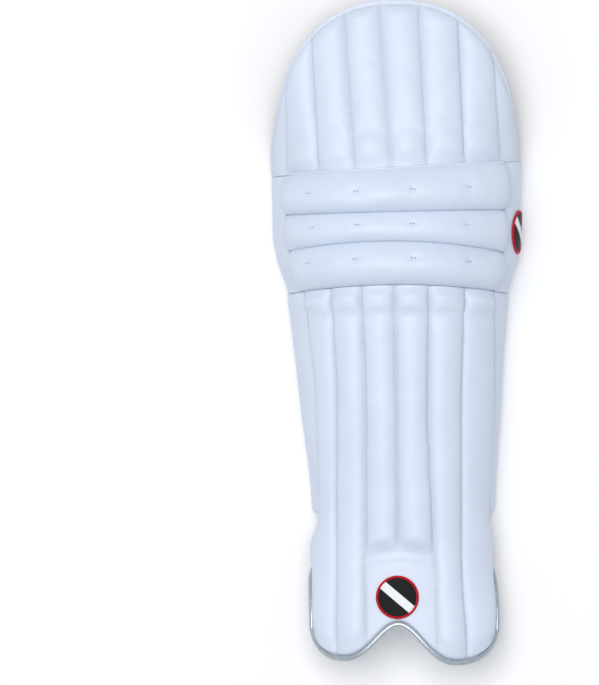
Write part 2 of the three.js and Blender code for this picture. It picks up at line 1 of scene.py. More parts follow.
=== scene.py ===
"""A cricket batting pad lying on its back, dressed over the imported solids.

Shapes are worked out in the pad's own coordinates, in millimetres: y from the toe to the top, an angle
round the arch of each cross section, and a distance out from the shell line, where face and lining meet.
"""
import logging
import math
from collections.abc import Callable
from dataclasses import dataclass, replace
from enum import Enum
from functools import partial
from typing import Any

import bpy
import numpy as np
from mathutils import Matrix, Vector


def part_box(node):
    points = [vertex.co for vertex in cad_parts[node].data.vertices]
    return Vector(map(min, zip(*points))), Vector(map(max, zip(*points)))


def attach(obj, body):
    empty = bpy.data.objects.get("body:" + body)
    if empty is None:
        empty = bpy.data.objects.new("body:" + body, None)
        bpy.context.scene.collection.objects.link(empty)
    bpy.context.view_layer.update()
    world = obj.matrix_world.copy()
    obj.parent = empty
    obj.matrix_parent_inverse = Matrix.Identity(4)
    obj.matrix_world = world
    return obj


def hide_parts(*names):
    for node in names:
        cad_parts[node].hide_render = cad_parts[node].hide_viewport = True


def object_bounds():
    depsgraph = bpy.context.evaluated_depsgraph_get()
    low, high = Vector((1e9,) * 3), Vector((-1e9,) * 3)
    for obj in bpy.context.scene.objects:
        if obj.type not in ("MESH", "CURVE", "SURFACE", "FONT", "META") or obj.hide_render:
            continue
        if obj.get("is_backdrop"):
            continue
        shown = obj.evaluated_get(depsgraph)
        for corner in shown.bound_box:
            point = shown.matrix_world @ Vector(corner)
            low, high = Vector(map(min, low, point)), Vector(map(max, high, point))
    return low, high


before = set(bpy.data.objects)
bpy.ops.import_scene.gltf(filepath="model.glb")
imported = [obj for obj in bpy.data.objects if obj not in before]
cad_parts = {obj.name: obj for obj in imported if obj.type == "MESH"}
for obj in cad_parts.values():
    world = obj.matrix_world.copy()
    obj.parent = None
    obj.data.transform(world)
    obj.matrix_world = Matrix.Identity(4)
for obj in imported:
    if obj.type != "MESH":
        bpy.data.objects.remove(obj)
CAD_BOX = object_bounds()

LOG = logging.getLogger("batting_pad")
Array = np.ndarray
Value = float | Array
Pair = tuple[float, float]
Floats = tuple[float, ...]
Socket = bpy.types.NodeSocket
Inputs = dict[str | int, Any]  # a node's sockets and what they take
Adder = Callable[..., Socket]  # add_node for one material

BODY = "root"
DRESSED = "dressed_"  # the start of each piece's name
THREAD_NUMBER = 1  # of the thread among the finishes of a sewn piece
BINDING_NUMBER = 2  # of the edge binding, after the thread
MM = 0.001
TINY = 1e-9  # keeps a length that is divided by above zero
FAR = 99.0  # a distance at which no edge has an effect
GAP = 0.3  # clearance between neighbouring pieces
KNEE_GAP = 0.05  # clearance along the seams of the knee rolls
SEAM = 5.0  # thickness of the padded face along a sewn seam
LINING = 5.0  # thickness of the back lining
SOFT = 0.8  # power of the sine by which lumps fade towards the seams
SEAM_SHADE_WIDTH = 1.8  # how far painted shade spreads from a rib's seam
PUCKER_REACH = 6.0  # how far puckers run out from a seam
PUCKER_START = 1.5  # how far from a seam they are full
TOE_HEIGHT = -345.0  # where the angles of the toe are read
HIP = -201.0  # where the shin widens into the toe lobes
WING_END = -197.0  # lower end of both wings
CREASE = 18.0  # the crease across the ribs under the knee
KNEE_HEIGHT = 48.0  # where the places across the knee are read
PATCH_FROM = -84.0  # inner end of the calf strap's panel

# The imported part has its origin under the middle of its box, which is this far from the section table's own.
SHIFT = np.array((
    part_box("calf_strap_patch")[0].x / MM - PATCH_FROM,
    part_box("wing_outer")[0].y / MM - WING_END,
    0.0,
))


def mix(low: Value, high: Value, t: Value) -> Value:
    """Linear change from low at t = 0 to high at t = 1."""
    return low + (high - low) * t


def ease(t: Value) -> Value:
    """Smooth step from 0 to 1: level at both ends."""
    t = np.clip(t, 0, 1)
    return t * t * (3 - 2 * t)


def hump(p: Value, power: float) -> Value:
    """Half a sine wave over p from 0 to 1, raised to a power: below 1 it is fuller."""
    return np.maximum(0, np.sin(np.pi * p)) ** power


def bell(t: Value) -> Value:
    """Bell curve, 1 at t = 0."""
    return np.exp(-t * t)


def fall(distance: Value, length: float) -> Value:
    """Exponential fall from 1 at no distance to about a third at one length."""
    return np.exp(-distance / length)


def signed_power(value: Value, power: float) -> Value:
    """Power of the size of a value, with its sign kept."""
    return np.sign(value) * np.abs(value) ** power


def round_off(distance: Value, radius: float) -> Value:
    """Quarter circle: 0 at an edge, 1 from one radius in."""
    return np.sqrt(1 - (1 - np.clip(distance / radius, 0, 1)) ** 2)


def unit(vectors: Array) -> Array:
    """Vectors scaled to length 1."""
    return vectors / np.maximum(np.linalg.norm(vectors, axis=-1, keepdims=True), TINY)


def steps(count: int) -> Array:
    """Equal steps from 0 to 1."""
    return np.linspace(0, 1, count + 1)


def turns_round(count: int) -> Array:
    """Equal angles once round a circle."""
    return 2 * np.pi * np.arange(count) / count


def rim_of(grid: Array) -> Array:
    """Values along the four edges of a grid, once round."""
    return np.concatenate([grid[0, :-1], grid[:-1, -1], grid[-1, :0:-1], grid[:0:-1, 0]])


def run_length(points: Array, axis: int) -> Array:
    """Distance walked along one axis of a grid of points, from its first line to each point."""
    walked = np.cumsum(np.linalg.norm(np.diff(points, axis=axis), axis=-1), axis=axis)
    return np.concatenate([0 * np.take(walked, [0], axis), walked], axis)


def row_heights(counts: tuple[int, ...], stops: list[Array]) -> Array:
    """Heights of a grid with a count of rows from each stop, an array over the columns, to the next."""
    parts = [mix(a, b, (np.arange(n) / n)[:, None]) for n, a, b in zip(counts, stops, stops[1:])]
    return np.concatenate(parts + [np.broadcast_to(stops[-1], parts[-1].shape[1:])[None]])


@dataclass(frozen=True)
class Noise:
    """Smooth unevenness: seeded values on a square lattice, joined by smooth steps."""

    seed: int
    height: float
    cell: Pair = (1.0, 1.0)  # what a lattice cell spans along and across
    skip: float = 0.0  # lattice cells from the line that one strip reads to the next strip's
    size: int = 128

    def at(self, along: Value, across: Value) -> Array:
        """Reads the unevenness.

        Args:
            along: first coordinate.
            across: second coordinate.
        Returns:
            values from -height to height.
        """
        values = np.random.default_rng(self.seed).uniform(-1, 1, (self.size, self.size))
        places = (np.asarray(p, float) / c for p, c in zip((along, across), self.cell))
        x, y = np.broadcast_arrays(*places)
        i, j = np.floor(x).astype(int), np.floor(y).astype(int)
        s, t = ease(x - i), ease(y - j)

        def corner(a: int, b: int) -> Array:
            """Lattice values at one corner of each point's cell."""
            return values[(i + a) % self.size, (j + b) % self.size]

        return self.height * mix(mix(corner(0, 0), corner(1, 0), s), mix(corner(0, 1), corner(1, 1), s), t)

    def on_strip(self, along: Value, strip: Value) -> Array:
        """Unevenness along numbered strips, each with a lattice line of its own."""
        return self.at(along, strip * self.skip)

    def on_line(self, along: Value) -> Array:
        """Unevenness along a single line, through the middle of the lattice's first cells."""
        return self.at(along, 0.5)

    def sown(self, step: int) -> "Noise":
        """The same kind of unevenness with another seed."""
        return replace(self, seed=self.seed + step)


@dataclass(frozen=True)
class Profile:
    """One column of a table by height: monotone cubic interpolation, which keeps level stretches level."""

    heights: Floats
    values: Floats

    def at(self, y: Value) -> Array:
        """Cubics from row to row, with the harmonic mean of the slopes on both sides at each row.

        Args:
            y: heights.
        Returns:
            the values there.
        """
        h, v = np.array(self.heights), np.array(self.values)
        y = np.clip(y, h[0], h[-1])
        k = np.clip(np.searchsorted(h, y, side="right") - 1, 0, len(h) - 2)
        secant = np.diff(v) / np.diff(h)
        before, after = np.append(secant[:1], secant), np.append(secant, secant[-1:])
        product = np.maximum(before * after, 0)
        slope = 2 * product / np.where(product > 0, before + after, 1)
        step = h[k + 1] - h[k]
        t = (y - h[k]) / step
        near = (1 + 2 * t) * (1 - t) ** 2 * v[k] + t * (1 - t) ** 2 * step * slope[k]
        return near + t * t * (3 - 2 * t) * v[k + 1] + t * t * (t - 1) * step * slope[k + 1]


@dataclass(frozen=True)
class Shell:
    """The shell line: superellipse arches whose sizes change along the pad."""

    columns: tuple[str, ...] = ("y", "middle", "half", "crown", "edge", "wrap")
    sections: tuple[Floats, ...] = (
        (-360, 8.5, 104, 97, 24, 64),
        (-315, 8.5, 104, 94, 22, 66),
        (-235, 6, 95, 90, 4, 80),
        (-195, 8, 93, 92, 0, 90),
        (-60, 4, 103, 102, 0, 90),
        (48, 1.5, 115.5, 110, 0, 90),
        (80, 1, 125.5, 113, 0, 90),
        (110, 0, 130, 114, 0, 90),
        (180, -0.5, 130.5, 111, 6, 90),
        (260, -2, 139, 104, 20, 90),
        (360, -3, 150, 92, 28, 90),
    )
    squareness: float = 2.2

    def column(self, name: str, y: Value) -> Array:
        """One column of the section table at heights y."""
        k = self.columns.index(name)
        return Profile(tuple(row[0] for row in self.sections), tuple(row[k] for row in self.sections)).at(y)

    def share_of(self, angle: Value) -> Array:
        """Share of the half width at an angle round the arch."""
        return signed_power(np.sin(angle), 2 / self.squareness)

    def angle_of(self, share: Value) -> Array:
        """Angle round the arch at a share of the half width."""
        return np.arcsin(signed_power(np.clip(share, -1, 1), self.squareness / 2))

    def angle_at(self, y: Value, x: Value, out: float) -> Array:
        """Angle where the surface a distance out from the shell line is at x."""
        return self.angle_of((x - self.column("middle", y)) / (self.column("half", y) + out))

    def angle_at_level(self, y: Value, level: Value, out: float) -> Array:
        """Angle, always positive, where a surface a distance out comes down to a level above the floor."""
        edge, crown = self.column("edge", y), self.column("crown", y)
        return np.arccos(np.clip((level - edge) / (crown - edge + out), 0, 1) ** (self.squareness / 2))

    def wrap(self, y: Value) -> Array:
        """Angle of the pad's rear edge."""
        return np.radians(self.column("wrap", y))

    def point(self, y: Value, angle: Value, out: Value) -> Array:
        """Points of the pad: x = middle + (half + out) share, z = edge + (crown - edge + out) cosine power.

        Args:
            y: heights.
            angle: angles round the arch from its crown.
            out: distances out from the shell line.
        Returns:
            the points, as one array.
        """
        y, angle, out = np.broadcast_arrays(*(np.asarray(a, float) for a in (y, angle, out)))
        edge = self.column("edge", y)
        up = np.maximum(0, np.cos(angle)) ** (2 / self.squareness)
        x = self.column("middle", y) + (self.column("half", y) + out) * self.share_of(angle)
        return np.stack([x, y, edge + (self.column("crown", y) - edge + out) * up], -1)

    def outward(self, y: Value, angle: Value, out: Value) -> Array:
        """Directions out of the pad."""
        return unit(self.point(y, angle, out + 1) - self.point(y, angle, out))


SHELL = Shell()


@dataclass(frozen=True)
class KneeLine:
    """A seam across the knee: height in the middle, tilt to the outer side and droop to both sides."""

    middle: float
    tilt: float
    droop: float

    def at(self, share: Value) -> Value:
        """Height at a share of the half width."""
        return self.middle + self.tilt * share + self.droop * share * share


KNEE_FOOT = KneeLine(52.8, 0.3, -9.5)
KNEE_LOWER = KneeLine(99.7, -1.2, -15.0)
KNEE_UPPER = KneeLine(131.5, 3.3, 0.0)
KNEE_HAT = KneeLine(179.0, 8.4, 1.0)


@dataclass
class Surface:
    """Part of a piece: points in millimetres, faces by their corners, and what its finish reads there."""

    points: Array
    faces: list[Array]
    cut: Array  # flat coordinates of the cloth, in millimetres
    soil: Array  # painted shade: from 0 on open cloth to 1 on a seam
    finish: int = 0


def quads(*corners: Array) -> Array:
    """Faces from four arrays of corner numbers."""
    return np.stack([c.ravel() for c in corners], 1)


def slab(
    front: Array, back: Array, cut: Array, soil: Array | None = None, back_cut: Array | None = None
) -> Surface:
    """A closed sheet: two grids of points, front and back, joined by walls along their four edges.

    Args:
        front: grid of points, rows towards +Y and columns towards +X.
        back: the same on the other side.
        cut: flat coordinates of the cloth.
        soil: closeness to a seam on the front, by which shade is painted there, if any.
        back_cut: flat coordinates on the back, if they differ.
    Returns:
        the surface.
    """
    rows, columns = front.shape[:2]
    f = np.arange(rows * columns).reshape(rows, columns)
    b = f + rows * columns
    faces = [
        quads(f[:-1, :-1], f[:-1, 1:], f[1:, 1:], f[1:, :-1]),
        quads(b[:-1, :-1], b[1:, :-1], b[1:, 1:], b[:-1, 1:]),
        quads(b[1:, 0], b[:-1, 0], f[:-1, 0], f[1:, 0]),
        quads(b[:-1, -1], b[1:, -1], f[1:, -1], f[:-1, -1]),
        quads(b[0, :-1], b[0, 1:], f[0, 1:], f[0, :-1]),
        quads(b[-1, 1:], b[-1, :-1], f[-1, :-1], f[-1, 1:]),
    ]
    clean = np.zeros(rows * columns)
    points = np.concatenate([front.reshape(-1, 3), back.reshape(-1, 3)])
    both_cuts = np.concatenate([c.reshape(-1, 2) for c in (cut, cut if back_cut is None else back_cut)])
    # closeness to a seam for the painted shade; none on the back
    both_seam_shades = np.concatenate([clean if soil is None else soil.ravel(), clean])
    return Surface(points, [np.concatenate(faces)], both_cuts, both_seam_shades)


def face(y: Array, angle: Array, out: Array, across: Array, soil: Array) -> Surface:
    """A padded face of the pad from the shell line out; its cloth lies flat as places across and heights."""
    return slab(SHELL.point(y, angle, out), SHELL.point(y, angle, GAP / 2), np.stack([across, y], -1), soil)


def sweep(centres: Array, across: Array, along: Array, profile: Array, closed: bool = False) -> Surface:
    """A profile carried along a path: centre + first coordinate times across + second times along.

    Args:
        centres: points of the path.
        across: direction and size of the profile's first coordinate at each of them.
        along: the same of its second; across x along points forward on the path.
        profile: loop of points with two coordinates, counter-clockwise.
        closed: whether the path's end meets its start; otherwise both ends are capped.
    Returns:
        the surface.
    """
    points = centres[:, None] + profile[:, 0, None] * across[:, None] + profile[:, 1, None] * along[:, None]
    count, sides = points.shape[:2]
    here = np.arange(count * sides).reshape(count, sides)
    if closed:
        here = np.concatenate([here, here[:1]])
    beside = np.roll(here, -1, axis=1)
    faces = [quads(here[:-1], beside[:-1], beside[1:], here[1:])]
    if not closed:
        faces += [here[:1, ::-1], here[-1:]]
    run = np.broadcast_to(run_length(centres, 0)[:, None], (count, sides))
    turn = np.broadcast_to(np.arange(sides) / sides, (count, sides))
    cut = np.stack([run, turn], -1).reshape(-1, 2)
    return Surface(points.reshape(-1, 3), faces, cut, np.zeros(count * sides))


def circle(radius: float, sides: int) -> Array:
    """A round profile."""
    turn = turns_round(sides)
    return radius * np.stack([np.cos(turn), np.sin(turn)], -1)


def tube(path: Array, outward: Array, radius: float, sides: int, finish: int = 0) -> Surface:
    """A round cord: a circle carried along a path.

    Args:
        path: points of its middle line.
        outward: directions that the circle starts in.
        radius: its radius.
        sides: corners of the circle.
        finish: number of its finish.
    Returns:
        the surface.
    """
    forward = unit(np.gradient(path, axis=0))
    out = unit(outward - forward * np.sum(outward * forward, -1, keepdims=True))
    return replace(sweep(path, out, np.cross(forward, out), circle(radius, sides)), finish=finish)


@dataclass(frozen=True)
class Stitch:
    """A sewing stitch: its length, the pitch from one to the next, and the thread's radius and lift."""

    pitch: float = 4.2
    length: float = 3.0
    radius: float = 0.42
    lift: float = 0.35
    tip: float = 0.45  # of the radius, where the thread goes into the cloth
    rings: int = 4
    sides: int = 5

    def row(self, path: Array, outward: Array) -> Surface:
        """A row of stitches: short tubes that thin towards their ends and arch from hole to hole.

        Args:
            path: points of the seam.
            outward: directions out of the cloth there.
        Returns:
            their surface.
        """
        run = run_length(path, 0)
        count = max(1, int(run[-1] / self.pitch))
        t = np.linspace(0, 1, self.rings)
        start = (np.arange(count) + 0.5) * run[-1] / count - self.length / 2
        at = start[:, None] + t * self.length

        def read(values: Array) -> Array:
            """Values of the path at the rings of all stitches."""
            return np.stack([np.interp(at, run, values[:, k]) for k in range(3)], -1)

        centre, out = read(path), unit(read(outward))
        forward = unit(np.gradient(centre, axis=1))
        side = np.cross(forward, out)
        arch = np.sin(np.pi * t)[None, :, None]
        centre = centre + out * self.lift * arch
        turn = turns_round(self.sides)[:, None]
        ring = np.cos(turn) * out[:, :, None] + np.sin(turn) * side[:, :, None]
        points = centre[:, :, None] + self.radius * mix(self.tip, 1, arch[..., None]) * ring
        here = np.arange(points[..., 0].size).reshape(points.shape[:3])
        beside = np.roll(here, -1, axis=2)
        faces = [
            quads(here[:, :-1], beside[:, :-1], beside[:, 1:], here[:, 1:]),
            here[:, 0, ::-1].reshape(-1, self.sides),
            here[:, -1].reshape(-1, self.sides),
        ]
        flat = points.reshape(-1, 3)
        return Surface(flat, faces, flat[:, :2], np.zeros(len(flat)), THREAD_NUMBER)

    def along(self, y: Array, angle: Array, out: Value, way: int = 1) -> Surface:
        """A row of stitches along a line of the pad, on its outside for way 1 and on its inside for -1."""
        return self.row(SHELL.point(y, angle, out), way * SHELL.outward(y, angle, out))


THREAD_STITCH = Stitch()
BAR_TACK = Stitch(pitch=3.4, length=2.0, radius=0.75, lift=0.3)


def linear(colour: str) -> tuple[float, float, float, float]:
    """An sRGB hex colour in linear light, with alpha 1."""
    share = np.array([int(colour[k:k + 2], 16) for k in (1, 3, 5)]) / 255
    return (*np.where(share <= 0.04045, share / 12.92, ((share + 0.055) / 1.055) ** 2.4).tolist(), 1.0)


def per_size(size: float) -> float:
    """Scale of a pattern whose cells have a size in millimetres."""
    return 1 / (size * MM)


def add_node(
    tree: bpy.types.NodeTree, kind: str, inputs: Inputs | None = None, output: str = "", **settings: Any
) -> Socket | None:
    """Adds one shader node.

    Args:
        tree: the material's node tree.
        kind: its type name after "ShaderNode".
        inputs: socket names or numbers to the values, hex colours or outputs that they take.
        output: name of the wanted output; the first one in use if none is given.
        settings: its own properties, set first.
    Returns:
        that output, if it has any.
    """
    made = tree.nodes.new("ShaderNode" + kind)
    for name, value in settings.items():
        setattr(made, name, value)
    for socket, value in (inputs or {}).items():
        if isinstance(value, Socket):
            tree.links.new(value, made.inputs[socket])
        else:
            made.inputs[socket].default_value = linear(value) if isinstance(value, str) else value
    return next((s for s in made.outputs if s.enabled and output in ("", s.name)), None)


FACTOR, FIRST, SECOND = 0, 6, 7  # sockets of a colour Mix node, whose other data types have the same names
CUT_MAP = "cut"  # the UV map of the cloth's flat coordinates
SEAM_SHADE_LAYER = "seam"  # the attribute of closeness to a seam, which paints shade along it
WAVE_RATE = 20.0  # a wave texture repeats after 2 pi / (20 scale)
LINE_BLUR = 0.2  # share of a printed line's width over which it fades


@dataclass(frozen=True)
class Finish:
    """A material named for what the real one is. Subclasses add what its surface shows."""

    name: str
    colour: str
    roughness: float
    slot: str = ""  # the record's material slot of the pieces that are mainly of it
    stray: Pair = (-0.08, 0.1)  # how far an uneven roughness strays both ways

    def material(self) -> bpy.types.Material:
        """Makes the material, or finds it where it was made before.

        Returns:
            the material.
        """
        made = bpy.data.materials.get(self.name)
        if made:
            return made
        made = bpy.data.materials.new(self.name)
        made.use_nodes = True
        made.node_tree.nodes.clear()
        add = partial(add_node, made.node_tree)
        plain = {"Base Color": self.colour, "Roughness": self.roughness}
        add("OutputMaterial", {"Surface": add("BsdfPrincipled", plain | self.surface(add))})
        return made

    def surface(self, add: Adder) -> Inputs:
        """What the shader's sockets take besides the plain colour and roughness."""
        return {}

    def gloss(self, pattern: Socket) -> Inputs:
        """Limits between which the roughness strays with a pattern."""
        low, high = self.stray
        return {"Value": pattern, "To Min": self.roughness + low, "To Max": self.roughness + high}

    def bands(self, add: Adder, turn: float, pitch: float, width: float, on: Socket | None = None) -> Socket:
        """Parallel lines on the cloth.

        Args:
            add: adds a node.
            turn: degrees from the cloth's first coordinate to the lines' normal.
            pitch: millimetres from line to line.
            width: millimetres across a line.
            on: coordinates to draw on, if not the cloth's own.
        Returns:
            1 on the lines and 0 between them.
        """
        flat = on or add("UVMap", uv_map=CUT_MAP)
        turned = add("Mapping", {"Vector": flat, "Rotation": (0.0, 0.0, math.radians(-turn))})
        scale = 2 * math.pi / (WAVE_RATE * pitch * MM)
        wave = add("TexWave", {"Vector": turned, "Scale": scale}, "Fac", wave_profile="TRI")
        start, end = (width / pitch * (1 + blur) for blur in (-LINE_BLUR, LINE_BLUR))
        limits = {"From Min": start, "From Max": end, "To Min": 1.0, "To Max": 0.0}
        return add("MapRange", {"Value": wave} | limits)


@dataclass(frozen=True)
class SyntheticLeather(Finish):
    """Polyurethane-coated cloth, embossed with a pebble grain: satin white, with shade painted along its
    seams.
    """

    stray: Pair = (-0.06, 0.08)
    shade: str = "#ced8e8"
    # the painted shade along the seams
    soil: str = "#c8d1df"
    grain_mm: float = 1.7  # the real grain is under 1 mm; drawn coarser so that it shows
    grain_depth_mm: float = 0.16
    patch_mm: float = 55.0
    crinkle_mm: float = 11.0
    crinkle_depth_mm: float = 0.35

    def surface(self, add: Adder) -> Inputs:
        """Tone patches and painted shade along the seams in the colour, and grain over soft crinkles in the
        bump.

        Args:
            add: adds a node.
        Returns:
            the shader's inputs.
        """
        place = add("TexCoord", output="Object")
        patch = add("TexNoise", {"Vector": place, "Scale": per_size(self.patch_mm), "Detail": 4.0})
        tone = add("Mix", {FACTOR: patch, FIRST: self.shade, SECOND: self.colour}, data_type="RGBA")
        # closeness to a seam mixes the colour towards the painted seam shade
        seam = add("Attribute", output="Fac", attribute_name=SEAM_SHADE_LAYER)
        folds = add("TexNoise", {"Vector": place, "Scale": per_size(self.crinkle_mm), "Detail": 3.0})
        crinkle = add("Bump", {"Strength": 0.5, "Distance": self.crinkle_depth_mm * MM, "Height": folds})
        pebbles = add("TexVoronoi", {"Vector": place, "Scale": per_size(self.grain_mm)})
        grain = {"Strength": 0.6, "Distance": self.grain_depth_mm * MM, "Height": pebbles}
        return {
            "Base Color": add("Mix", {FACTOR: seam, FIRST: tone, SECOND: self.soil}, data_type="RGBA"),
            "Roughness": add("MapRange", self.gloss(patch)),
            "Normal": add("Bump", grain | {"Normal": crinkle}),
        }


@dataclass(frozen=True)
class PrintedLining(Finish):
    """Printed polyester lining: one colour fades into another along the pad under a thin pale lattice."""

    far_colour: str = "#8c1420"
    fade_from: float = 190.0
    fade_to: float = 260.0
    line_colour: str = "#d8dee2"
    lattice_mm: float = 30.0
    line_mm: float = 1.2
    lattice_turn: float = 32.0
    weave_mm: float = 1.4  # the real threads are finer; drawn coarser so that they show
    weave_depth_mm: float = 0.1
    wear_mm: float = 25.0
    specular: float = 0.22

    def surface(self, add: Adder) -> Inputs:
        """The fade and lattice in the colour, a crossed weave in the bump, and patchy wear in the gloss.

        Args:
            add: adds a node.
        Returns:
            the shader's inputs.
        """
        place = add("TexCoord", output="Object")
        height = add("SeparateXYZ", {0: place}, "Y")
        span = {"Value": height, "From Min": self.fade_from * MM, "From Max": self.fade_to * MM}
        dyes = {FACTOR: add("MapRange", span), FIRST: self.far_colour, SECOND: self.colour}
        ground = add("Mix", dyes, data_type="RGBA")
        turns = (self.lattice_turn, -self.lattice_turn)
        lines = [self.bands(add, turn, self.lattice_mm, self.line_mm) for turn in turns]
        lattice = add("Math", dict(enumerate(lines)), operation="MAXIMUM")
        threads = [self.bands(add, turn, self.weave_mm, self.weave_mm / 2) for turn in (0.0, 90.0)]
        weave = add("Math", dict(enumerate(threads)), operation="ADD")
        wear = add("TexNoise", {"Vector": place, "Scale": per_size(self.wear_mm), "Detail": 4.0})
        tones = {FACTOR: lattice, FIRST: ground, SECOND: self.line_colour}
        return {
            "Base Color": add("Mix", tones, data_type="RGBA"),
            "Roughness": add("MapRange", self.gloss(wear)),
            "Normal": add("Bump", {"Strength": 0.35, "Distance": self.weave_depth_mm * MM, "Height": weave}),
            "Specular IOR Level": self.specular,
        }


@dataclass(frozen=True)
class AirMesh(Finish):
    """Knitted open mesh: a white net of crossed yarns over a red backing that shows through its holes."""

    yarn: str = "#f4d5dd"
    pitch_mm: float = 3.2
    yarn_mm: float = 1.15
    yarn_depth_mm: float = 0.45
    fuzz_mm: float = 1.2
    cover: float = 0.55  # fuzz above which a yarn covers the backing fully
    sheen: float = 0.25

    def surface(self, add: Adder) -> Inputs:
        """Crossed diagonal yarns that are paler than the backing and stand above it.

        Args:
            add: adds a node.
        Returns:
            the shader's inputs.
        """
        yarns = [self.bands(add, turn, self.pitch_mm, self.yarn_mm) for turn in (45.0, -45.0)]
        net = add("Math", dict(enumerate(yarns)), operation="MAXIMUM")
        place = add("TexCoord", output="Object")
        fuzz = add("TexNoise", {"Vector": place, "Scale": per_size(self.fuzz_mm), "Detail": 2.0})
        worn = add("Math", {0: net, 1: fuzz}, operation="MULTIPLY")
        shown = add("MapRange", {"Value": worn, "From Max": self.cover})
        tones = {FACTOR: shown, FIRST: self.colour, SECOND: self.yarn}
        return {
            "Base Color": add("Mix", tones, data_type="RGBA"),
            "Normal": add("Bump", {"Strength": 0.9, "Distance": self.yarn_depth_mm * MM, "Height": net}),
            "Sheen Weight": self.sheen,
        }


@dataclass(frozen=True)
class ElasticWebbing(Finish):
    """Woven elastic: white with coloured stripes along it, ribbed across by the rubber cores."""

    width_mm: float = 41.0
    stripes: tuple[tuple[float, str], ...] = ()
    rib_mm: float = 1.7
    rib_depth_mm: float = 0.3
    thread_mm: float = 1.1
    hollow: float = 0.86  # painted shade: brightness of the colour between the ribs and threads
    sheen: float = 0.06
    specular: float = 0.2

    def surface(self, add: Adder) -> Inputs:
        """Stripes by the distance across, ribs crossed by warp threads in the bump, and painted shade between
        them in the tone.

        Args:
            add: adds a node.
        Returns:
            the shader's inputs.
        """
        across = add("SeparateXYZ", {0: add("UVMap", uv_map=CUT_MAP)}, "Y")
        half = self.width_mm / 2 * MM
        place = add("MapRange", {"Value": across, "From Min": -half, "From Max": half})
        dye = add("ValToRGB", {"Fac": place})
        ramp = dye.node.color_ramp
        ramp.interpolation = "CONSTANT"
        for end in ramp.elements:
            end.color = linear(self.colour)
        for start, colour in self.stripes:
            ramp.elements.new(start).color = linear(colour)
        rib = self.bands(add, 0.0, self.rib_mm, self.rib_mm / 2)
        warp = self.bands(add, 90.0, self.thread_mm, self.thread_mm / 2)
        weave = add("Math", {0: rib, 1: warp}, operation="ADD")
        # painted shade: the colour darkens between the ribs and threads, where the weave is low
        depth = add("MapRange", {"Value": weave, "From Max": 2.0, "To Min": self.hollow, "To Max": 1.0})
        woven = {FACTOR: 1.0, FIRST: dye, SECOND: add("CombineColor", {0: depth, 1: depth, 2: depth})}
        return {
            "Base Color": add("Mix", woven, data_type="RGBA", blend_type="MULTIPLY"),
            "Normal": add("Bump", {"Strength": 0.7, "Distance": self.rib_depth_mm * MM, "Height": weave}),
            "Sheen Weight": self.sheen,
            "Specular IOR Level": self.specular,
        }


@dataclass(frozen=True)
class PlainPolymer(Finish):
    """Moulded or drawn plastic: even colour with faint flow marks and a slightly uneven gloss."""

    mottle: str = "#e3e5e8"
    flow_mm: float = 6.0
    flow_depth_mm: float = 0.08
    metallic: float = 0.0

    def surface(self, add: Adder) -> Inputs:
        """Flow marks in colour, gloss and a very shallow bump.

        Args:
            add: adds a node.
        Returns:
            the shader's inputs.
        """
        place = add("TexCoord", output="Object")
        flow = add("TexNoise", {"Vector": place, "Scale": per_size(self.flow_mm), "Detail": 5.0})
        tones = {FACTOR: flow, FIRST: self.mottle, SECOND: self.colour}
        return {
            "Base Color": add("Mix", tones, data_type="RGBA"),
            "Roughness": add("MapRange", self.gloss(flow)),
            "Normal": add("Bump", {"Strength": 0.3, "Distance": self.flow_depth_mm * MM, "Height": flow}),
            "Metallic": self.metallic,
        }


@dataclass(frozen=True)
class BadgeRubber(Finish):
    """Soft moulded rubber: black ground, red rim and a plain white sash, each its own pour of colour."""

    rim: str = "#c4182a"
    sash: str = "#e9edf0"
    rim_from: float = 0.89
    sash_half: float = 0.2
    sash_turn: float = 40.0
    stipple_share: float = 0.05  # of the badge's half size
    stipple_depth_mm: float = 0.1
    specular: float = 0.12

    def surface(self, add: Adder) -> Inputs:
        """Chooses the pour by the place on the badge, from -1 to 1 both ways in its flat coordinates.

        Args:
            add: adds a node.
        Returns:
            the shader's inputs.
        """
        flat = add("UVMap", uv_map=CUT_MAP)
        place = add("Mapping", {"Vector": flat, "Scale": (1 / MM,) * 3})
        reach = add("VectorMath", {0: place}, operation="LENGTH")
        turned = add("Mapping", {"Vector": place, "Rotation": (0.0, 0.0, math.radians(self.sash_turn))})
        size = add("Math", {0: add("SeparateXYZ", {0: turned}, "Y")}, operation="ABSOLUTE")
        on_sash = add("Math", {0: size, 1: self.sash_half}, operation="LESS_THAN")
        on_rim = add("Math", {0: reach, 1: self.rim_from}, operation="GREATER_THAN")
        inner = add("Mix", {FACTOR: on_sash, FIRST: self.colour, SECOND: self.sash}, data_type="RGBA")
        dots = add("TexNoise", {"Vector": flat, "Scale": per_size(self.stipple_share), "Detail": 2.0})
        relief = {"Strength": 0.25, "Distance": self.stipple_depth_mm * MM, "Height": dots}
        return {
            "Base Color": add("Mix", {FACTOR: on_rim, FIRST: inner, SECOND: self.rim}, data_type="RGBA"),
            "Normal": add("Bump", relief),
            "Specular IOR Level": self.specular,
        }


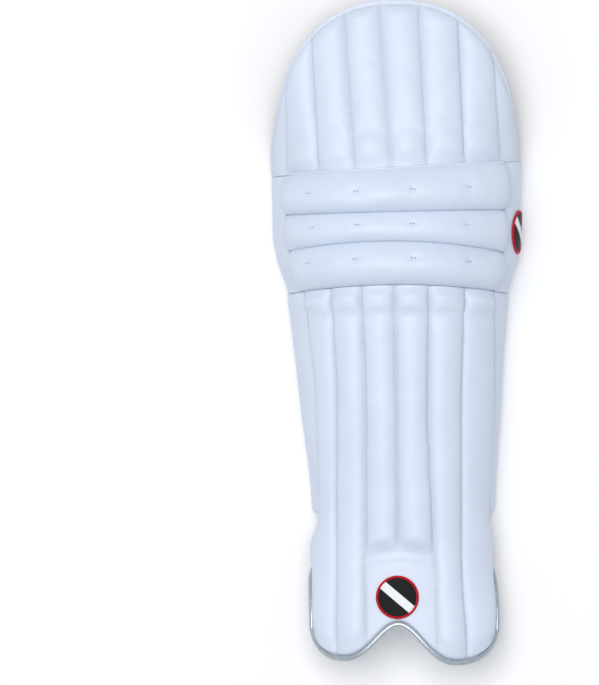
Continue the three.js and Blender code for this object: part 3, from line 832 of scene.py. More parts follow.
@dataclass(frozen=True)
class PanelPrint(Finish):
    """Coated panel printed with a black outline, plain pink hatching and a chevron at its pointed end."""

    ink: str = "#15161a"
    hatch: str = "#e58aa2"
    hatch_turn: float = 35.0
    hatch_mm: float = 4.5
    line_mm: float = 1.1
    ink_depth_mm: float = 0.1
    outline: Pair = (0.04, 0.07)  # in from the ends and from the sides, as shares
    line_share: float = 0.028
    chevron: Pair = (0.09, 0.17)

    def surface(self, add: Adder) -> Inputs:
        """Prints by the panel's flat coordinates, from 0 to 1: from its pointed end, and across.

        The outline is where the larger of the two distances from the middle, as a share of its own, is 1.

        Args:
            add: adds a node.
        Returns:
            the shader's inputs.
        """
        place = add("Mapping", {"Vector": add("UVMap", uv_map=CUT_MAP), "Scale": (1 / MM,) * 3})
        parts = add("SeparateXYZ", {0: place}).node.outputs
        world = add("TexCoord", output="Object")
        hatch = self.bands(add, self.hatch_turn, self.hatch_mm, self.line_mm, world)
        ground = add("Mix", {FACTOR: hatch, FIRST: self.colour, SECOND: self.hatch}, data_type="RGBA")
        reach = {}
        for axis, inset in enumerate(self.outline):
            off = add("Math", {0: parts[axis], 1: 0.5}, operation="SUBTRACT")
            size = add("Math", {0: off}, operation="ABSOLUTE")
            reach[axis] = add("Math", {0: size, 1: 0.5 - inset}, operation="DIVIDE")
        furthest = add("Math", reach, operation="MAXIMUM")
        on_line = add("Math", {0: furthest, 1: 1.0, 2: self.line_share}, operation="COMPARE")
        lined = add("Mix", {FACTOR: on_line, FIRST: ground, SECOND: self.ink}, data_type="RGBA")
        low, high = self.chevron
        on_tip = add("Math", {0: parts[0], 1: (low + high) / 2, 2: (high - low) / 2}, operation="COMPARE")
        return {
            "Base Color": add("Mix", {FACTOR: on_tip, FIRST: lined, SECOND: self.ink}, data_type="RGBA"),
            "Normal": add("Bump", {"Strength": 0.3, "Distance": self.ink_depth_mm * MM, "Height": hatch}),
        }


# Cloth coated with embossed polyurethane: satin white with a fine grain and painted shade along its seams.
LEATHER = SyntheticLeather("white synthetic leather", "#d9e3f3", 0.46, "white_leather")
# The same cloth in a plainer grade: a little duller and coarser in its grain.
LINING_CLOTH = SyntheticLeather(
    "white lining leathercloth", "#dde7f1", 0.5, "white_lining", shade="#cfdbe8", grain_mm=2.2
)
# A strip of it folded round an edge: stretched smooth, so glossier, with tight crinkles.
RIM_LEATHER = SyntheticLeather(
    "white edge binding", "#dce4f1", 0.42, "white_leather", grain_mm=1.2, crinkle_mm=6.0
)
# Twisted polyester filament: bright and matt; the tacks' thread is a mid grey.
THREAD = PlainPolymer("white polyester thread", "#eef1f7", 0.6, mottle="#d5dbe5", flow_mm=1.0)
TACK_THREAD = PlainPolymer("soiled polyester thread", "#aab3c0", 0.7, mottle="#8d97a6", flow_mm=1.0)
# Woven polyester with dye printed into it: deep flat colours with hardly any shine.
HAT_PRINT = PrintedLining("black to red printed lining", "#17161a", 0.45, "black_print")
RED_PRINT = PrintedLining(
    "red printed lining", "#d9142a", 0.5, "red_print",
    far_colour="#e3182d", fade_from=40, fade_to=170, lattice_mm=26, lattice_turn=58,
)
STRIP_PRINT = PrintedLining(
    "red to black printed lining", "#c01425", 0.5, "black_print",
    far_colour="#141417", fade_from=-90, fade_to=30, lattice_turn=18,
)
# Knitted in two colours: pink from afar, a net with holes from close by.
MESH = AirMesh("red and white air mesh", "#c9233f", 0.85, "red_mesh")
# Vinyl with a metallised film, drawn over a cord: bright highlights along its length.
SILVER = PlainPolymer(
    "silver vinyl piping", "#c6cdd4", 0.25, "silver_piping", mottle="#a6b0b9", flow_mm=9.0, metallic=0.5
)
# Dyed cord cover: plain satin red.
RED_CORD = PlainPolymer("red edge cord", "#c4212f", 0.55, "red_print", mottle="#a81c29", flow_mm=3.0)
# Moulded acetal: clean white with a soft shine on its rounded edges.
RING_PLASTIC = PlainPolymer("white acetal plastic", "#f1f2f5", 0.32, "ring_plastic", mottle="#e9ebee")
# Rubber poured colour by colour into one mould: saturated, matt and finely stippled.
BADGE = BadgeRubber("moulded badge rubber", "#0b0b0d", 0.5, "badge_rubber")
# Screen print on coated cloth: ink that lies a little above the white.
PANEL = PanelPrint("printed strap panel", "#f2f3f6", 0.5, "patch_print")
# Painted board: matt and nearly white.
FLOOR = PlainPolymer("matt pale floor", "#fdfdfd", 0.9, mottle="#fafafb", flow_mm=400.0)

GREY_STRIPE = "#a9afb3"
WHITE_STRIPE = "#f1f3f6"
BLACK_STRIPE = "#17171a"
RED_STRIPE = "#d8202f"


class Softness(Enum):
    """How soft a piece is: a stuffed one by how full it is, a hard one not at all."""

    HARD = None
    FLAT = 0.3
    SOFT = 0.6
    FULL = 0.85


def add_piece(
    name: str,
    surfaces: list[Surface],
    finishes: list[Finish],
    softness: Softness = Softness.HARD,
    crease: float = 55.0,
    has_node: bool = True,
) -> bpy.types.Object:
    """Makes one piece of the pad and fixes it to the frame.

    Args:
        name: its plain name, which is put after "dressed_".
        surfaces: its surfaces.
        finishes: its finishes by their numbers, added to it as materials in that order.
        softness: how soft it is; not used.
        crease: degrees above which an edge is shaded as one.
        has_node: whether it replaces a node of the same name.
    Returns:
        the object.
    """
    offsets = np.cumsum([0] + [len(s.points) for s in surfaces])
    points = (np.concatenate([s.points for s in surfaces]) + SHIFT) * MM
    blocks = [(f + o, s.finish) for s, o in zip(surfaces, offsets) for f in s.faces]
    corners = np.concatenate([f.ravel() for f, _ in blocks])
    numbers = np.concatenate([np.full(len(f), k, np.int32) for f, k in blocks])
    mesh = bpy.data.meshes.new(DRESSED + name)
    mesh.from_pydata(points.tolist(), [], [c for f, _ in blocks for c in f.tolist()], shade_flat=False)
    mesh.polygons.foreach_set("material_index", numbers)
    cut = np.concatenate([s.cut for s in surfaces]) * MM
    mesh.uv_layers.new(name=CUT_MAP).uv.foreach_set("vector", cut[corners].astype(np.float32).ravel())
    # closeness to the seams, by which the finishes paint shade there
    soil = np.concatenate([s.soil for s in surfaces]).astype(np.float32)
    mesh.attributes.new(SEAM_SHADE_LAYER, "FLOAT", "POINT").data.foreach_set("value", soil)
    mesh.set_sharp_from_angle(angle=math.radians(crease))
    for finish in finishes:
        mesh.materials.append(finish.material())
    piece = bpy.data.objects.new(DRESSED + name, mesh)
    bpy.context.scene.collection.objects.link(piece)
    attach(piece, BODY)
    if has_node:
        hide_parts(name)
    LOG.info("%s: %d points, %d faces", name, len(points), len(numbers))
    return piece


@dataclass
class RibPlaces:
    """Where the points of a ribbed face are in its ribs."""

    rib: Array  # number of the rib
    half: Array  # number of the half rib
    to_seam: Array  # millimetres to the nearest seam
    share: Array  # from 0 to 1 across the rib, between the flat strips beside its seams


def rib_places(place: Array, arc: Array, columns: int, flat: float) -> RibPlaces:
    """Sorts the points of a ribbed face into its ribs.

    Args:
        place: places across, counted in ribs.
        arc: millimetres across the face.
        columns: columns of the grid in each rib.
        flat: width of the flat strip beside each seam.
    Returns:
        the places.
    """
    seams = arc[:, ::columns]
    rib = np.minimum(place.astype(int), seams.shape[1] - 2)
    width = np.maximum(np.diff(seams, axis=1)[:, rib], 1)
    from_seam = arc - seams[:, rib]
    share = np.clip((from_seam - flat) / np.maximum(width - 2 * flat, 1), 0, 1)
    return RibPlaces(rib, rib * 2 + (from_seam > width / 2), np.minimum(from_seam, width - from_seam), share)


def beside_seam(to_seam: Array) -> Array:
    """Share of the puckers at a distance from a seam: none on it, most close by, few further off."""
    return fall(to_seam, PUCKER_REACH) * (1 - fall(to_seam, PUCKER_START))


@dataclass(frozen=True)
class SidePanel:
    """A padded panel round one side of the pad, from a seam in front to the rear edge."""

    name: str
    side: int  # -1 on the inner side, 1 on the outer
    rise: float
    lumps: Noise
    puckers: Noise
    hems: Floats  # rows of stitches: from the seam, if there is one, and from the rear edge
    hem_skip: int  # rows of the grid without stitches at both ends
    crown: float = 0.6  # power of the sine by which lumps fade towards its sides
    pucker_reach: float = 5.0
    edge: float = 1.5  # thickness of the rear edge
    edge_round: float = 4.0
    soil_width: float = 2.0

    def reach(self, columns: int) -> Array:
        """Places from the seam, 0, to the rear edge, 1, in the order of rising x."""
        return steps(columns)[::self.side]

    def build(self, y: Array, angle: Array, padding: Array, soft: tuple[Value, Value], ends: Array) -> None:
        """Builds the panel: its padding with lumps and puckers, rounded off towards the rear edge.

        Args:
            y: heights.
            angle: angles round the arch.
            padding: thickness of the padding.
            soft: share of the lumps and of the puckers.
            ends: share of the thickness left at the ends.
        """
        arc = run_length(SHELL.point(y, angle, SEAM), 1)
        to_rear = arc if self.side < 0 else arc[:, -1:] - arc
        from_seam = arc[:, -1:] - to_rear
        crown = hump(self.reach(y.shape[1] - 1), self.crown)
        lumps = self.lumps.sown(self.side).at(y, arc) * soft[0] * crown
        puckers = self.puckers.sown(self.side).on_strip(y, 0) * fall(from_seam, self.pucker_reach) * soft[1]
        out = mix(self.edge, padding + lumps + puckers, round_off(to_rear, self.edge_round) * ends)
        # shade is painted along the seam in front
        surfaces = [face(y, angle, out, arc, fall(from_seam, self.soil_width))]
        kept = slice(self.hem_skip, -self.hem_skip)
        for distance, hem in zip((from_seam, to_rear)[-len(self.hems):], self.hems):
            c = int(np.argmin(np.abs(distance[len(distance) // 2] - hem)))
            line = (np.broadcast_to(grid, out.shape)[kept, c] for grid in (y, angle, out))
            surfaces.append(THREAD_STITCH.along(*line))
        add_piece(self.name, surfaces, [LEATHER, THREAD], Softness.SOFT)


@dataclass
class Toe:
    """The toe edge in front view: two round lobes with an arch for the instep between them."""

    inner: Floats = (-61.0, -350.5, 30.0, 30.0)  # x, y, corner width, corner height
    outer: Floats = (67.0, -355.0, 41.0, 33.0)
    arch_x: float = 1.0
    arch_y: float = -312.5
    sharpness: float = 1.3

    def line(self, x: Value) -> Array:
        """Height of the edge at x: a raised cosine between the lobes, and a quarter ellipse outside each.

        Args:
            x: places across the pad.
        Returns:
            the heights.
        """
        side = np.where((np.asarray(x) < self.arch_x)[..., None], self.inner, self.outer)
        lobe_x, lobe_y, width, height = np.moveaxis(side, -1, 0)
        t = (x - self.arch_x) / (lobe_x - self.arch_x)
        raised = ((1 + np.cos(np.pi * np.clip(t, 0, 1))) / 2) ** self.sharpness
        beyond = np.clip(np.abs(x - lobe_x) / width, 0, 1)
        corner = lobe_y + height * (1 - np.sqrt(1 - beyond * beyond))
        return np.where(t <= 1, mix(lobe_y, self.arch_y, raised), corner)

    def of_angle(self, angle: Value) -> Array:
        """Height of the edge at an angle round the toe's arch."""
        return self.line(SHELL.point(TOE_HEIGHT, angle, SEAM)[..., 0])


TOE = Toe()


@dataclass
class ShinFace:
    """The ribbed shin: six padded ribs, a flat instep panel, and the two wings round the sides."""

    seam_heights: Floats = (-345, -230, -73, 48)
    seams: tuple[Floats, ...] = (
        (-84, -82, -86, -101),
        (-66, -65, -65, -73),
        (-32, -34, -35, -40),
        (2, 1, -1, -4),
        (41, 39, 33, 34),
        (76, 69, 69, 73),
        (100, 98, 104, 105),
    )
    wander: Noise = Noise(6, 0.4, (22.0, 1.0), 3.7)  # of the seams
    lumps: Noise = Noise(3, 0.7, (38.0, 1.0), 7.3)
    fine_lumps: Noise = Noise(4, 0.35, (15.0, 15.0))
    puckers: Noise = Noise(5, 0.55, (6.5, 1.0), 5.7)
    rib_columns: int = 20
    rows: tuple[int, ...] = (72, 96, 40)
    rise: float = 8.5
    roundness: float = 0.44
    seam_flat: float = 1.1
    hip_length: float = 40.0
    crease_length: float = 9.0
    crease_share: float = 0.35
    crease_bow: float = 3.0
    crease_drop: float = 2.0
    head_share: float = 0.12  # how much fuller the ribs are above the crease
    head_gap: float = 4.0
    head_length: float = 8.0
    end_share: float = 0.35
    toe_length: float = 24.0
    top_length: float = 14.4
    short_ribs: tuple[int, int] = (2, 3)  # the two that end above the instep
    short_end: float = -246.0
    short_fade: float = 20.0
    short_arch: float = 7.0
    welt_height: float = 0.8
    welt_drop: float = 4.5
    welt_width: float = 2.8125
    calm: float = 0.7  # share of the lumps that the flat instep lacks
    lobe_drop: float = 20.0
    lobe_length: float = 30.0
    lobe_width: float = 30.0
    lobe_share: float = 0.15
    edge: float = 1.2  # thickness along the toe
    edge_round: float = 4.5
    side_round: float = 8.0
    # how far shade is painted in from the toe edge
    edge_soil: float = 2.2
    stitch_toe: float = 7.0  # where the rows of stitches stop short of the toe, the knee and the instep
    stitch_top: float = 3.0
    stitch_instep: float = 3.0
    hem: float = 5.5  # from the toe edge to the row of stitches along it
    hem_skip: int = 4
    inner_wing: SidePanel = SidePanel(
        "wing_inner", -1, 4.0,
        Noise(8, 0.5, (30.0, 30.0)), Noise(11, 0.5, (7.0, 1.0)), (3.0, 8.0), 4,
    )
    outer_wing: SidePanel = replace(inner_wing, name="wing_outer", side=1)
    wing_extra: float = 1.5
    wing_crown: Pair = (0.7, 0.3)  # powers of the padding's sines across and up
    wing_calm: float = 0.5  # power of the sine by which lumps fade towards its ends
    wing_columns: int = 28
    wing_rows: int = 120
    wing_gap: float = 0.5

    @property
    def ribs(self) -> int:
        """Number of ribs."""
        return len(self.seams) - 1

    def seam_angle(self, index: int, y: Value) -> Array:
        """Angle of a seam; below the hip the outermost two spread to the edges of the toe lobes.

        Args:
            index: its number from the inner side.
            y: heights.
        Returns:
            the angles.
        """
        seam = SHELL.angle_at(y, Profile(self.seam_heights, self.seams[index]).at(y), SEAM)
        if 0 < index < self.ribs:
            return seam + self.wander.on_strip(y, index) / SHELL.column("half", y)
        edge = (1 if index else -1) * SHELL.wrap(y)
        return mix(seam, edge, ease((HIP - y) / self.hip_length))

    def rib_angle(self, place: Array, y: Value) -> Array:
        """Angle at a place across the face: linear from seam to seam.

        Args:
            place: places in ribs.
            y: heights.
        Returns:
            the angles.
        """
        y = np.broadcast_to(y, np.broadcast_shapes(np.shape(y), place.shape))
        rib = np.broadcast_to(np.minimum(place.astype(int), self.ribs - 1), y.shape)
        seams = np.stack([self.seam_angle(k, y) for k in range(self.ribs + 1)])
        near = np.take_along_axis(seams, rib[None], 0)[0]
        return mix(near, np.take_along_axis(seams, rib[None] + 1, 0)[0], place - rib)

    def end_fade(self, distance: Array, length: float) -> Array:
        """Share of a rib's rise at a distance from its end."""
        return mix(self.end_share, 1, ease(distance / length))

    def thickness(self, place: Array, y: Array, arc: Array, toe: Array, top: Array) -> tuple[Array, Array]:
        """Thickness of the face: the seam's plus ribs that fade at both ends, with puckers and soft lumps.

        Args:
            place: places in ribs.
            y: heights.
            arc: millimetres across the face.
            toe: heights of the toe edge.
            top: heights of the knee seam.
        Returns:
            the thickness, and the shade painted along the seams and the toe edge.
        """
        at = rib_places(place, arc, self.rib_columns, self.seam_flat)
        first, second = self.short_ribs
        short = np.isin(at.rib, self.short_ribs)
        arch = self.short_end + self.short_arch * hump(np.clip((place - first) / 2, 0, 1), SOFT)
        instep = np.where(short, ease((y - arch) / self.short_fade), 1)
        bowed = CREASE + self.crease_bow * np.sin(np.pi * at.share) - self.crease_drop
        crease = 1 - self.crease_share * bell((y - bowed) / self.crease_length)
        head = 1 + self.head_share * ease((y - CREASE - self.head_gap) / self.head_length)
        ends = self.end_fade(y - toe, self.toe_length) * self.end_fade(top - y, self.top_length)
        to_side = np.minimum(arc, arc[:, -1:] - arc)
        low = ease((HIP - self.lobe_drop - y) / self.lobe_length)
        lobe = mix(1, mix(self.lobe_share, 1, ease(to_side / self.lobe_width)), low)
        rise = self.rise * hump(at.share, self.roundness) * ends * instep * crease * head * lobe
        lumps = self.lumps.on_strip(y, at.rib) + self.fine_lumps.at(y, arc)
        puckers = self.puckers.on_strip(y, at.half) * beside_seam(at.to_seam)
        welt = np.where(short, self.welt_height * bell((y - arch + self.welt_drop) / self.welt_width), 0)
        flat = np.where(short, 1 - instep, 0)
        out = SEAM + rise + (lumps * hump(at.share, SOFT) + puckers) * (1 - self.calm * flat) + welt
        edge = round_off(y - toe, self.edge_round) * mix(1, round_off(to_side, self.side_round), low)
        # shade painted along the seams, but not across the flat instep, and along the toe edge
        soil = fall(at.to_seam, SEAM_SHADE_WIDTH) * (1 - flat * (np.abs(place - second) < 0.5))
        to_edge = np.minimum(y - toe, mix(FAR, to_side, low))
        return mix(self.edge, out, edge), np.maximum(soil, fall(to_edge, self.edge_soil))

    def build(self) -> None:
        """Builds the face with its stitched seams, then the wings."""
        place = np.arange(self.ribs * self.rib_columns + 1) / self.rib_columns
        toe = TOE.of_angle(self.rib_angle(place, TOE_HEIGHT))
        top = KNEE_FOOT.at(SHELL.share_of(self.rib_angle(place, KNEE_HEIGHT))) - GAP
        ones = np.ones_like(place)
        y = row_heights(self.rows, [toe, HIP * ones, CREASE * ones, top])
        angle = self.rib_angle(place, y)
        arc = run_length(SHELL.point(y, angle, SEAM), 1)
        out, soil = self.thickness(place, y, arc, toe, top)
        surfaces = [face(y, angle, out, arc - arc[:, -1:] / 2, soil)]
        for k in range(1, self.ribs):
            c = k * self.rib_columns
            start = toe[c] + self.stitch_toe
            if k == self.short_ribs[1]:
                start = self.short_end + self.short_arch + self.stitch_instep
            kept = (y[:, c] > start) & (y[:, c] < top[c] - self.stitch_top)
            surfaces.append(THREAD_STITCH.along(y[kept, c], angle[kept, c], out[kept, c]))
        hem_y = toe + self.hem
        hem_out = np.array([np.interp(h, y[:, c], out[:, c]) for c, h in enumerate(hem_y)])
        line = (hem_y, self.rib_angle(place, hem_y), hem_out)
        surfaces.append(THREAD_STITCH.along(*(part[self.hem_skip:-self.hem_skip] for part in line)))
        add_piece("shin_face", surfaces, [LEATHER, THREAD], Softness.FULL)
        for wing in (self.inner_wing, self.outer_wing):
            self.build_wing(wing)

    def build_wing(self, wing: SidePanel) -> None:
        """Builds a wing: a panel with a low crown, whose thickness grows towards the rear edge.

        Args:
            wing: which one.
        """
        reach = wing.reach(self.wing_columns)
        seam = 0 if wing.side < 0 else self.ribs

        def angle_of(y: Array) -> Array:
            """Angle across the wing at heights y, from just beside the seam to the rear edge."""
            start = self.seam_angle(seam, y) + wing.side * self.wing_gap / SHELL.column("half", y)
            return mix(start, wing.side * SHELL.wrap(y), reach)

        top = KNEE_FOOT.at(SHELL.share_of(angle_of(np.full_like(reach, KNEE_HEIGHT)))) - GAP
        v = steps(self.wing_rows)[:, None]
        y = mix(WING_END, top, v)
        crown = wing.rise * hump(reach, self.wing_crown[0]) * hump(v, self.wing_crown[1])
        soft = (hump(v, self.wing_calm), 1.0)
        ends = round_off(y - WING_END, wing.edge_round)
        wing.build(y, angle_of(y), SEAM + self.wing_extra * reach + crown, soft, ends)


@dataclass
class ToePiping:
    """Round silver piping along the toe edge and up the sides of its lobes."""

    radius: float = 3.0
    sides: int = 16
    reach: float = 2.5  # from the edge to the middle of the cord
    lift: float = 4.8  # out from the shell line, so that it shows beside the face
    tuck: float = 0.1  # of the side span, where the ends go in under the face
    start: float = HIP - 44
    side_span: float = 0.35
    steps: int = 320
    tangent_step: float = 0.03
    smoothing: int = 6  # neighbours on each side that its directions are averaged over

    def edge(self, t: Array) -> Array:
        """Points of the toe edge.

        Args:
            t: from -1 to 1 along the toe, and beyond that up the sides.
        Returns:
            the points.
        """
        corner = SHELL.wrap(TOE_HEIGHT)
        inside = np.clip(t, -1, 1) * corner
        beyond = np.maximum(np.abs(t) - 1, 0) / self.side_span
        y = mix(TOE.of_angle(inside), self.start, beyond)
        return SHELL.point(y, np.where(np.abs(t) <= 1, inside, np.sign(t) * SHELL.wrap(y)), 0)

    def build(self) -> None:
        """Carries a circle along the edge, set outwards so that it shows, with its ends tucked in."""
        t = np.linspace(-1 - self.side_span, 1 + self.side_span, self.steps + 1)
        here = self.edge(t)
        run = self.edge(t + self.tangent_step) - self.edge(t - self.tangent_step)
        above = SHELL.point(here[:, 1], SHELL.angle_at(here[:, 1], here[:, 0], 0), 1) - here
        outward = np.pad(unit(np.cross(run, above)), ((self.smoothing, self.smoothing), (0, 0)), "edge")
        share = np.full(2 * self.smoothing + 1, 1 / (2 * self.smoothing + 1))
        smooth = np.stack([np.convolve(part, share, "valid") for part in outward.T], -1)
        shown = ease((1 + self.side_span - np.abs(t)) / self.tuck)[:, None]
        path = here + unit(smooth) * self.reach * mix(-1, 1, shown) + unit(above) * self.lift * shown
        add_piece("toe_piping", [tube(path, above, self.radius, self.sides)], [SILVER])


@dataclass(frozen=True)
class KneeRoll:
    """One roll across the knee: the seams below and above it, its rise, and how far up its tacks are."""

    name: str
    low: KneeLine
    high: KneeLine
    rise: float
    tack_share: float


@dataclass
class KneeRolls:
    """Three padded rolls across the knee, tacked down at four points each, between two side rolls."""

    rolls: tuple[KneeRoll, ...] = (
        KneeRoll("knee_roll_lower", KNEE_FOOT, KNEE_LOWER, 13.0, 0.62),
        KneeRoll("knee_roll_middle", KNEE_LOWER, KNEE_UPPER, 8.0, 0.6),
        KneeRoll("knee_roll_upper", KNEE_UPPER, KNEE_HAT, 13.0, 0.5),
    )
    inner_side: SidePanel = SidePanel(
        "knee_side_roll_inner", -1, 1.5,
        Noise(40, 0.6, (26.0, 26.0)), Noise(43, 0.5, (7.0, 1.0)), (7.0,), 3,
    )
    outer_side: SidePanel = replace(inner_side, name="knee_side_roll_outer", side=1, rise=3.0)
    lumps: Noise = Noise(20, 1.1, (34.0, 30.0))
    fine_lumps: Noise = Noise(24, 0.4, (12.0, 14.0))
    puckers: Noise = Noise(28, 0.8, (8.0, 1.0))
    pucker_lines: Pair = (0.5, 9.5)  # lattice lines read below and above the middle
    tacks: Floats = (-91.0, -43.0, 15.5, 72.5)
    tack_depth: float = 3.0
    tack_slope: float = 0.1875  # how fast a dimple fades, per millimetre
    tack_stretch: float = 1.35  # a dimple is this much wider than it is high
    tack_half: int = 2  # columns on each side of a tack's middle
    base: float = 11.0
    roundness: float = 0.85
    calm: float = 0.5  # power of the sine by which lumps fade towards the seams
    sag: float = 0.78  # power that brings the fullest line of a roll down
    inner_end: float = -0.885
    outer_end: float = 0.865
    corner: float = 0.06
    end_height: float = 0.8
    end_round: float = 17.0
    end_base: float = 5.5
    # how much shade is painted along the seams, and how far it spreads
    soil_share: float = 0.4
    soil_width: float = 2.2
    columns: int = 150
    rows: int = 44
    row_evenness: float = 0.5  # 0 bunches the rows along the seams, 1 spaces them evenly
    side_gap: float = 0.005
    side_length: float = 130.0
    side_end_round: float = 5.0
    side_end_share: float = 0.75
    side_columns: int = 26
    side_rows: int = 80

    def build(self) -> None:
        """Builds the rolls and the side rolls."""
        for k, roll in enumerate(self.rolls):
            self.build_roll(k, roll)
        for panel in (self.inner_side, self.outer_side):
            self.build_side_roll(panel)

    def build_roll(self, k: int, roll: KneeRoll) -> None:
        """Builds one roll: a bent sausage with a flat back, rounded corners and a dimple at each tack.

        Its thickness is the base plus the rise times half a sine of the way up, less at both ends, plus
        lumps and puckers, less a dimple that fades exponentially round each tack.

        Args:
            k: number of the roll.
            roll: its seams and sizes.
        """
        share = np.linspace(self.inner_end, self.outer_end, self.columns + 1)
        even = steps(self.rows)[:, None]
        v = mix(0.5 - 0.5 * np.cos(np.pi * even), even, self.row_evenness)
        to_end = np.minimum(share - self.inner_end, self.outer_end - share)
        bend = np.clip(1 - to_end / self.corner, 0, 1)
        full = mix(self.end_height, 1, np.sqrt(1 - bend * bend))
        bottom, top = roll.low.at(share) + KNEE_GAP, roll.high.at(share) - KNEE_GAP
        y = (bottom + top) / 2 + (v - 0.5) * (top - bottom) * full
        angle = SHELL.angle_of(share)
        plain = SHELL.point(y, angle, self.base)
        arc = run_length(plain, 1)
        to_seam = np.minimum(y - bottom, top - y)
        lumps = self.lumps.sown(k).at(arc, y) + self.fine_lumps.sown(k).at(arc, y)
        puckers = self.puckers.sown(k).at(arc, np.where(v < 0.5, *self.pucker_lines))
        soft = (lumps + puckers * fall(to_seam, PUCKER_REACH)) * hump(v, self.calm)
        ends = round_off(to_end * SHELL.column("half", (bottom + top) / 2), self.end_round)
        out = mix(self.end_base, self.base, ends)
        out = out + (roll.rise * hump(v ** self.sag, self.roundness) + soft) * ends
        bars = []
        for tack in self.tacks:
            c = int(np.argmin(np.abs(plain[self.rows // 2, :, 0] - tack)))
            tack_y = mix(bottom[c], top[c], roll.tack_share)
            away = np.hypot((arc - arc[:, [c]]) / self.tack_stretch, y - tack_y)
            out = out - self.tack_depth * np.exp(-away * self.tack_slope)
            row = int(np.argmin(np.abs(y[:, c] - tack_y)))
            bars.append((row, slice(c - self.tack_half, c + self.tack_half + 1)))
        # shade is painted along the seams below and above the roll
        surfaces = [face(y, angle, out, arc, self.soil_share * fall(to_seam, self.soil_width))]
        surfaces += [BAR_TACK.along(y[row, span], angle[span], out[row, span]) for row, span in bars]
        add_piece(roll.name, surfaces, [LEATHER, TACK_THREAD], Softness.FULL)

    def side_start(self, side: int) -> Array:
        """Angle where a side roll begins."""
        return SHELL.angle_of(self.inner_end - self.side_gap if side < 0 else self.outer_end + self.side_gap)

    def side_thickness(self, reach: Value, rise: float) -> Value:
        """Thickness of a side roll across its reach."""
        return SEAM + rise * hump(reach, self.roundness)

    def build_side_roll(self, panel: SidePanel) -> None:
        """Builds a side roll: a low crown from the knee rolls' ends round to the rear edge.

        Args:
            panel: which one.
        """
        reach = panel.reach(self.side_columns)
        angle = mix(self.side_start(panel.side), panel.side * np.pi / 2, reach)
        share = SHELL.share_of(angle)
        v = steps(self.side_rows)[:, None]
        y = mix(KNEE_FOOT.at(share) + GAP, KNEE_HAT.at(share) - GAP, v)
        ends = round_off(np.minimum(v, 1 - v) * self.side_length, self.side_end_round)
        padding = self.side_thickness(reach, panel.rise)
        panel.build(y, angle, padding, (1.0, ends), mix(self.side_end_share, 1, ends))


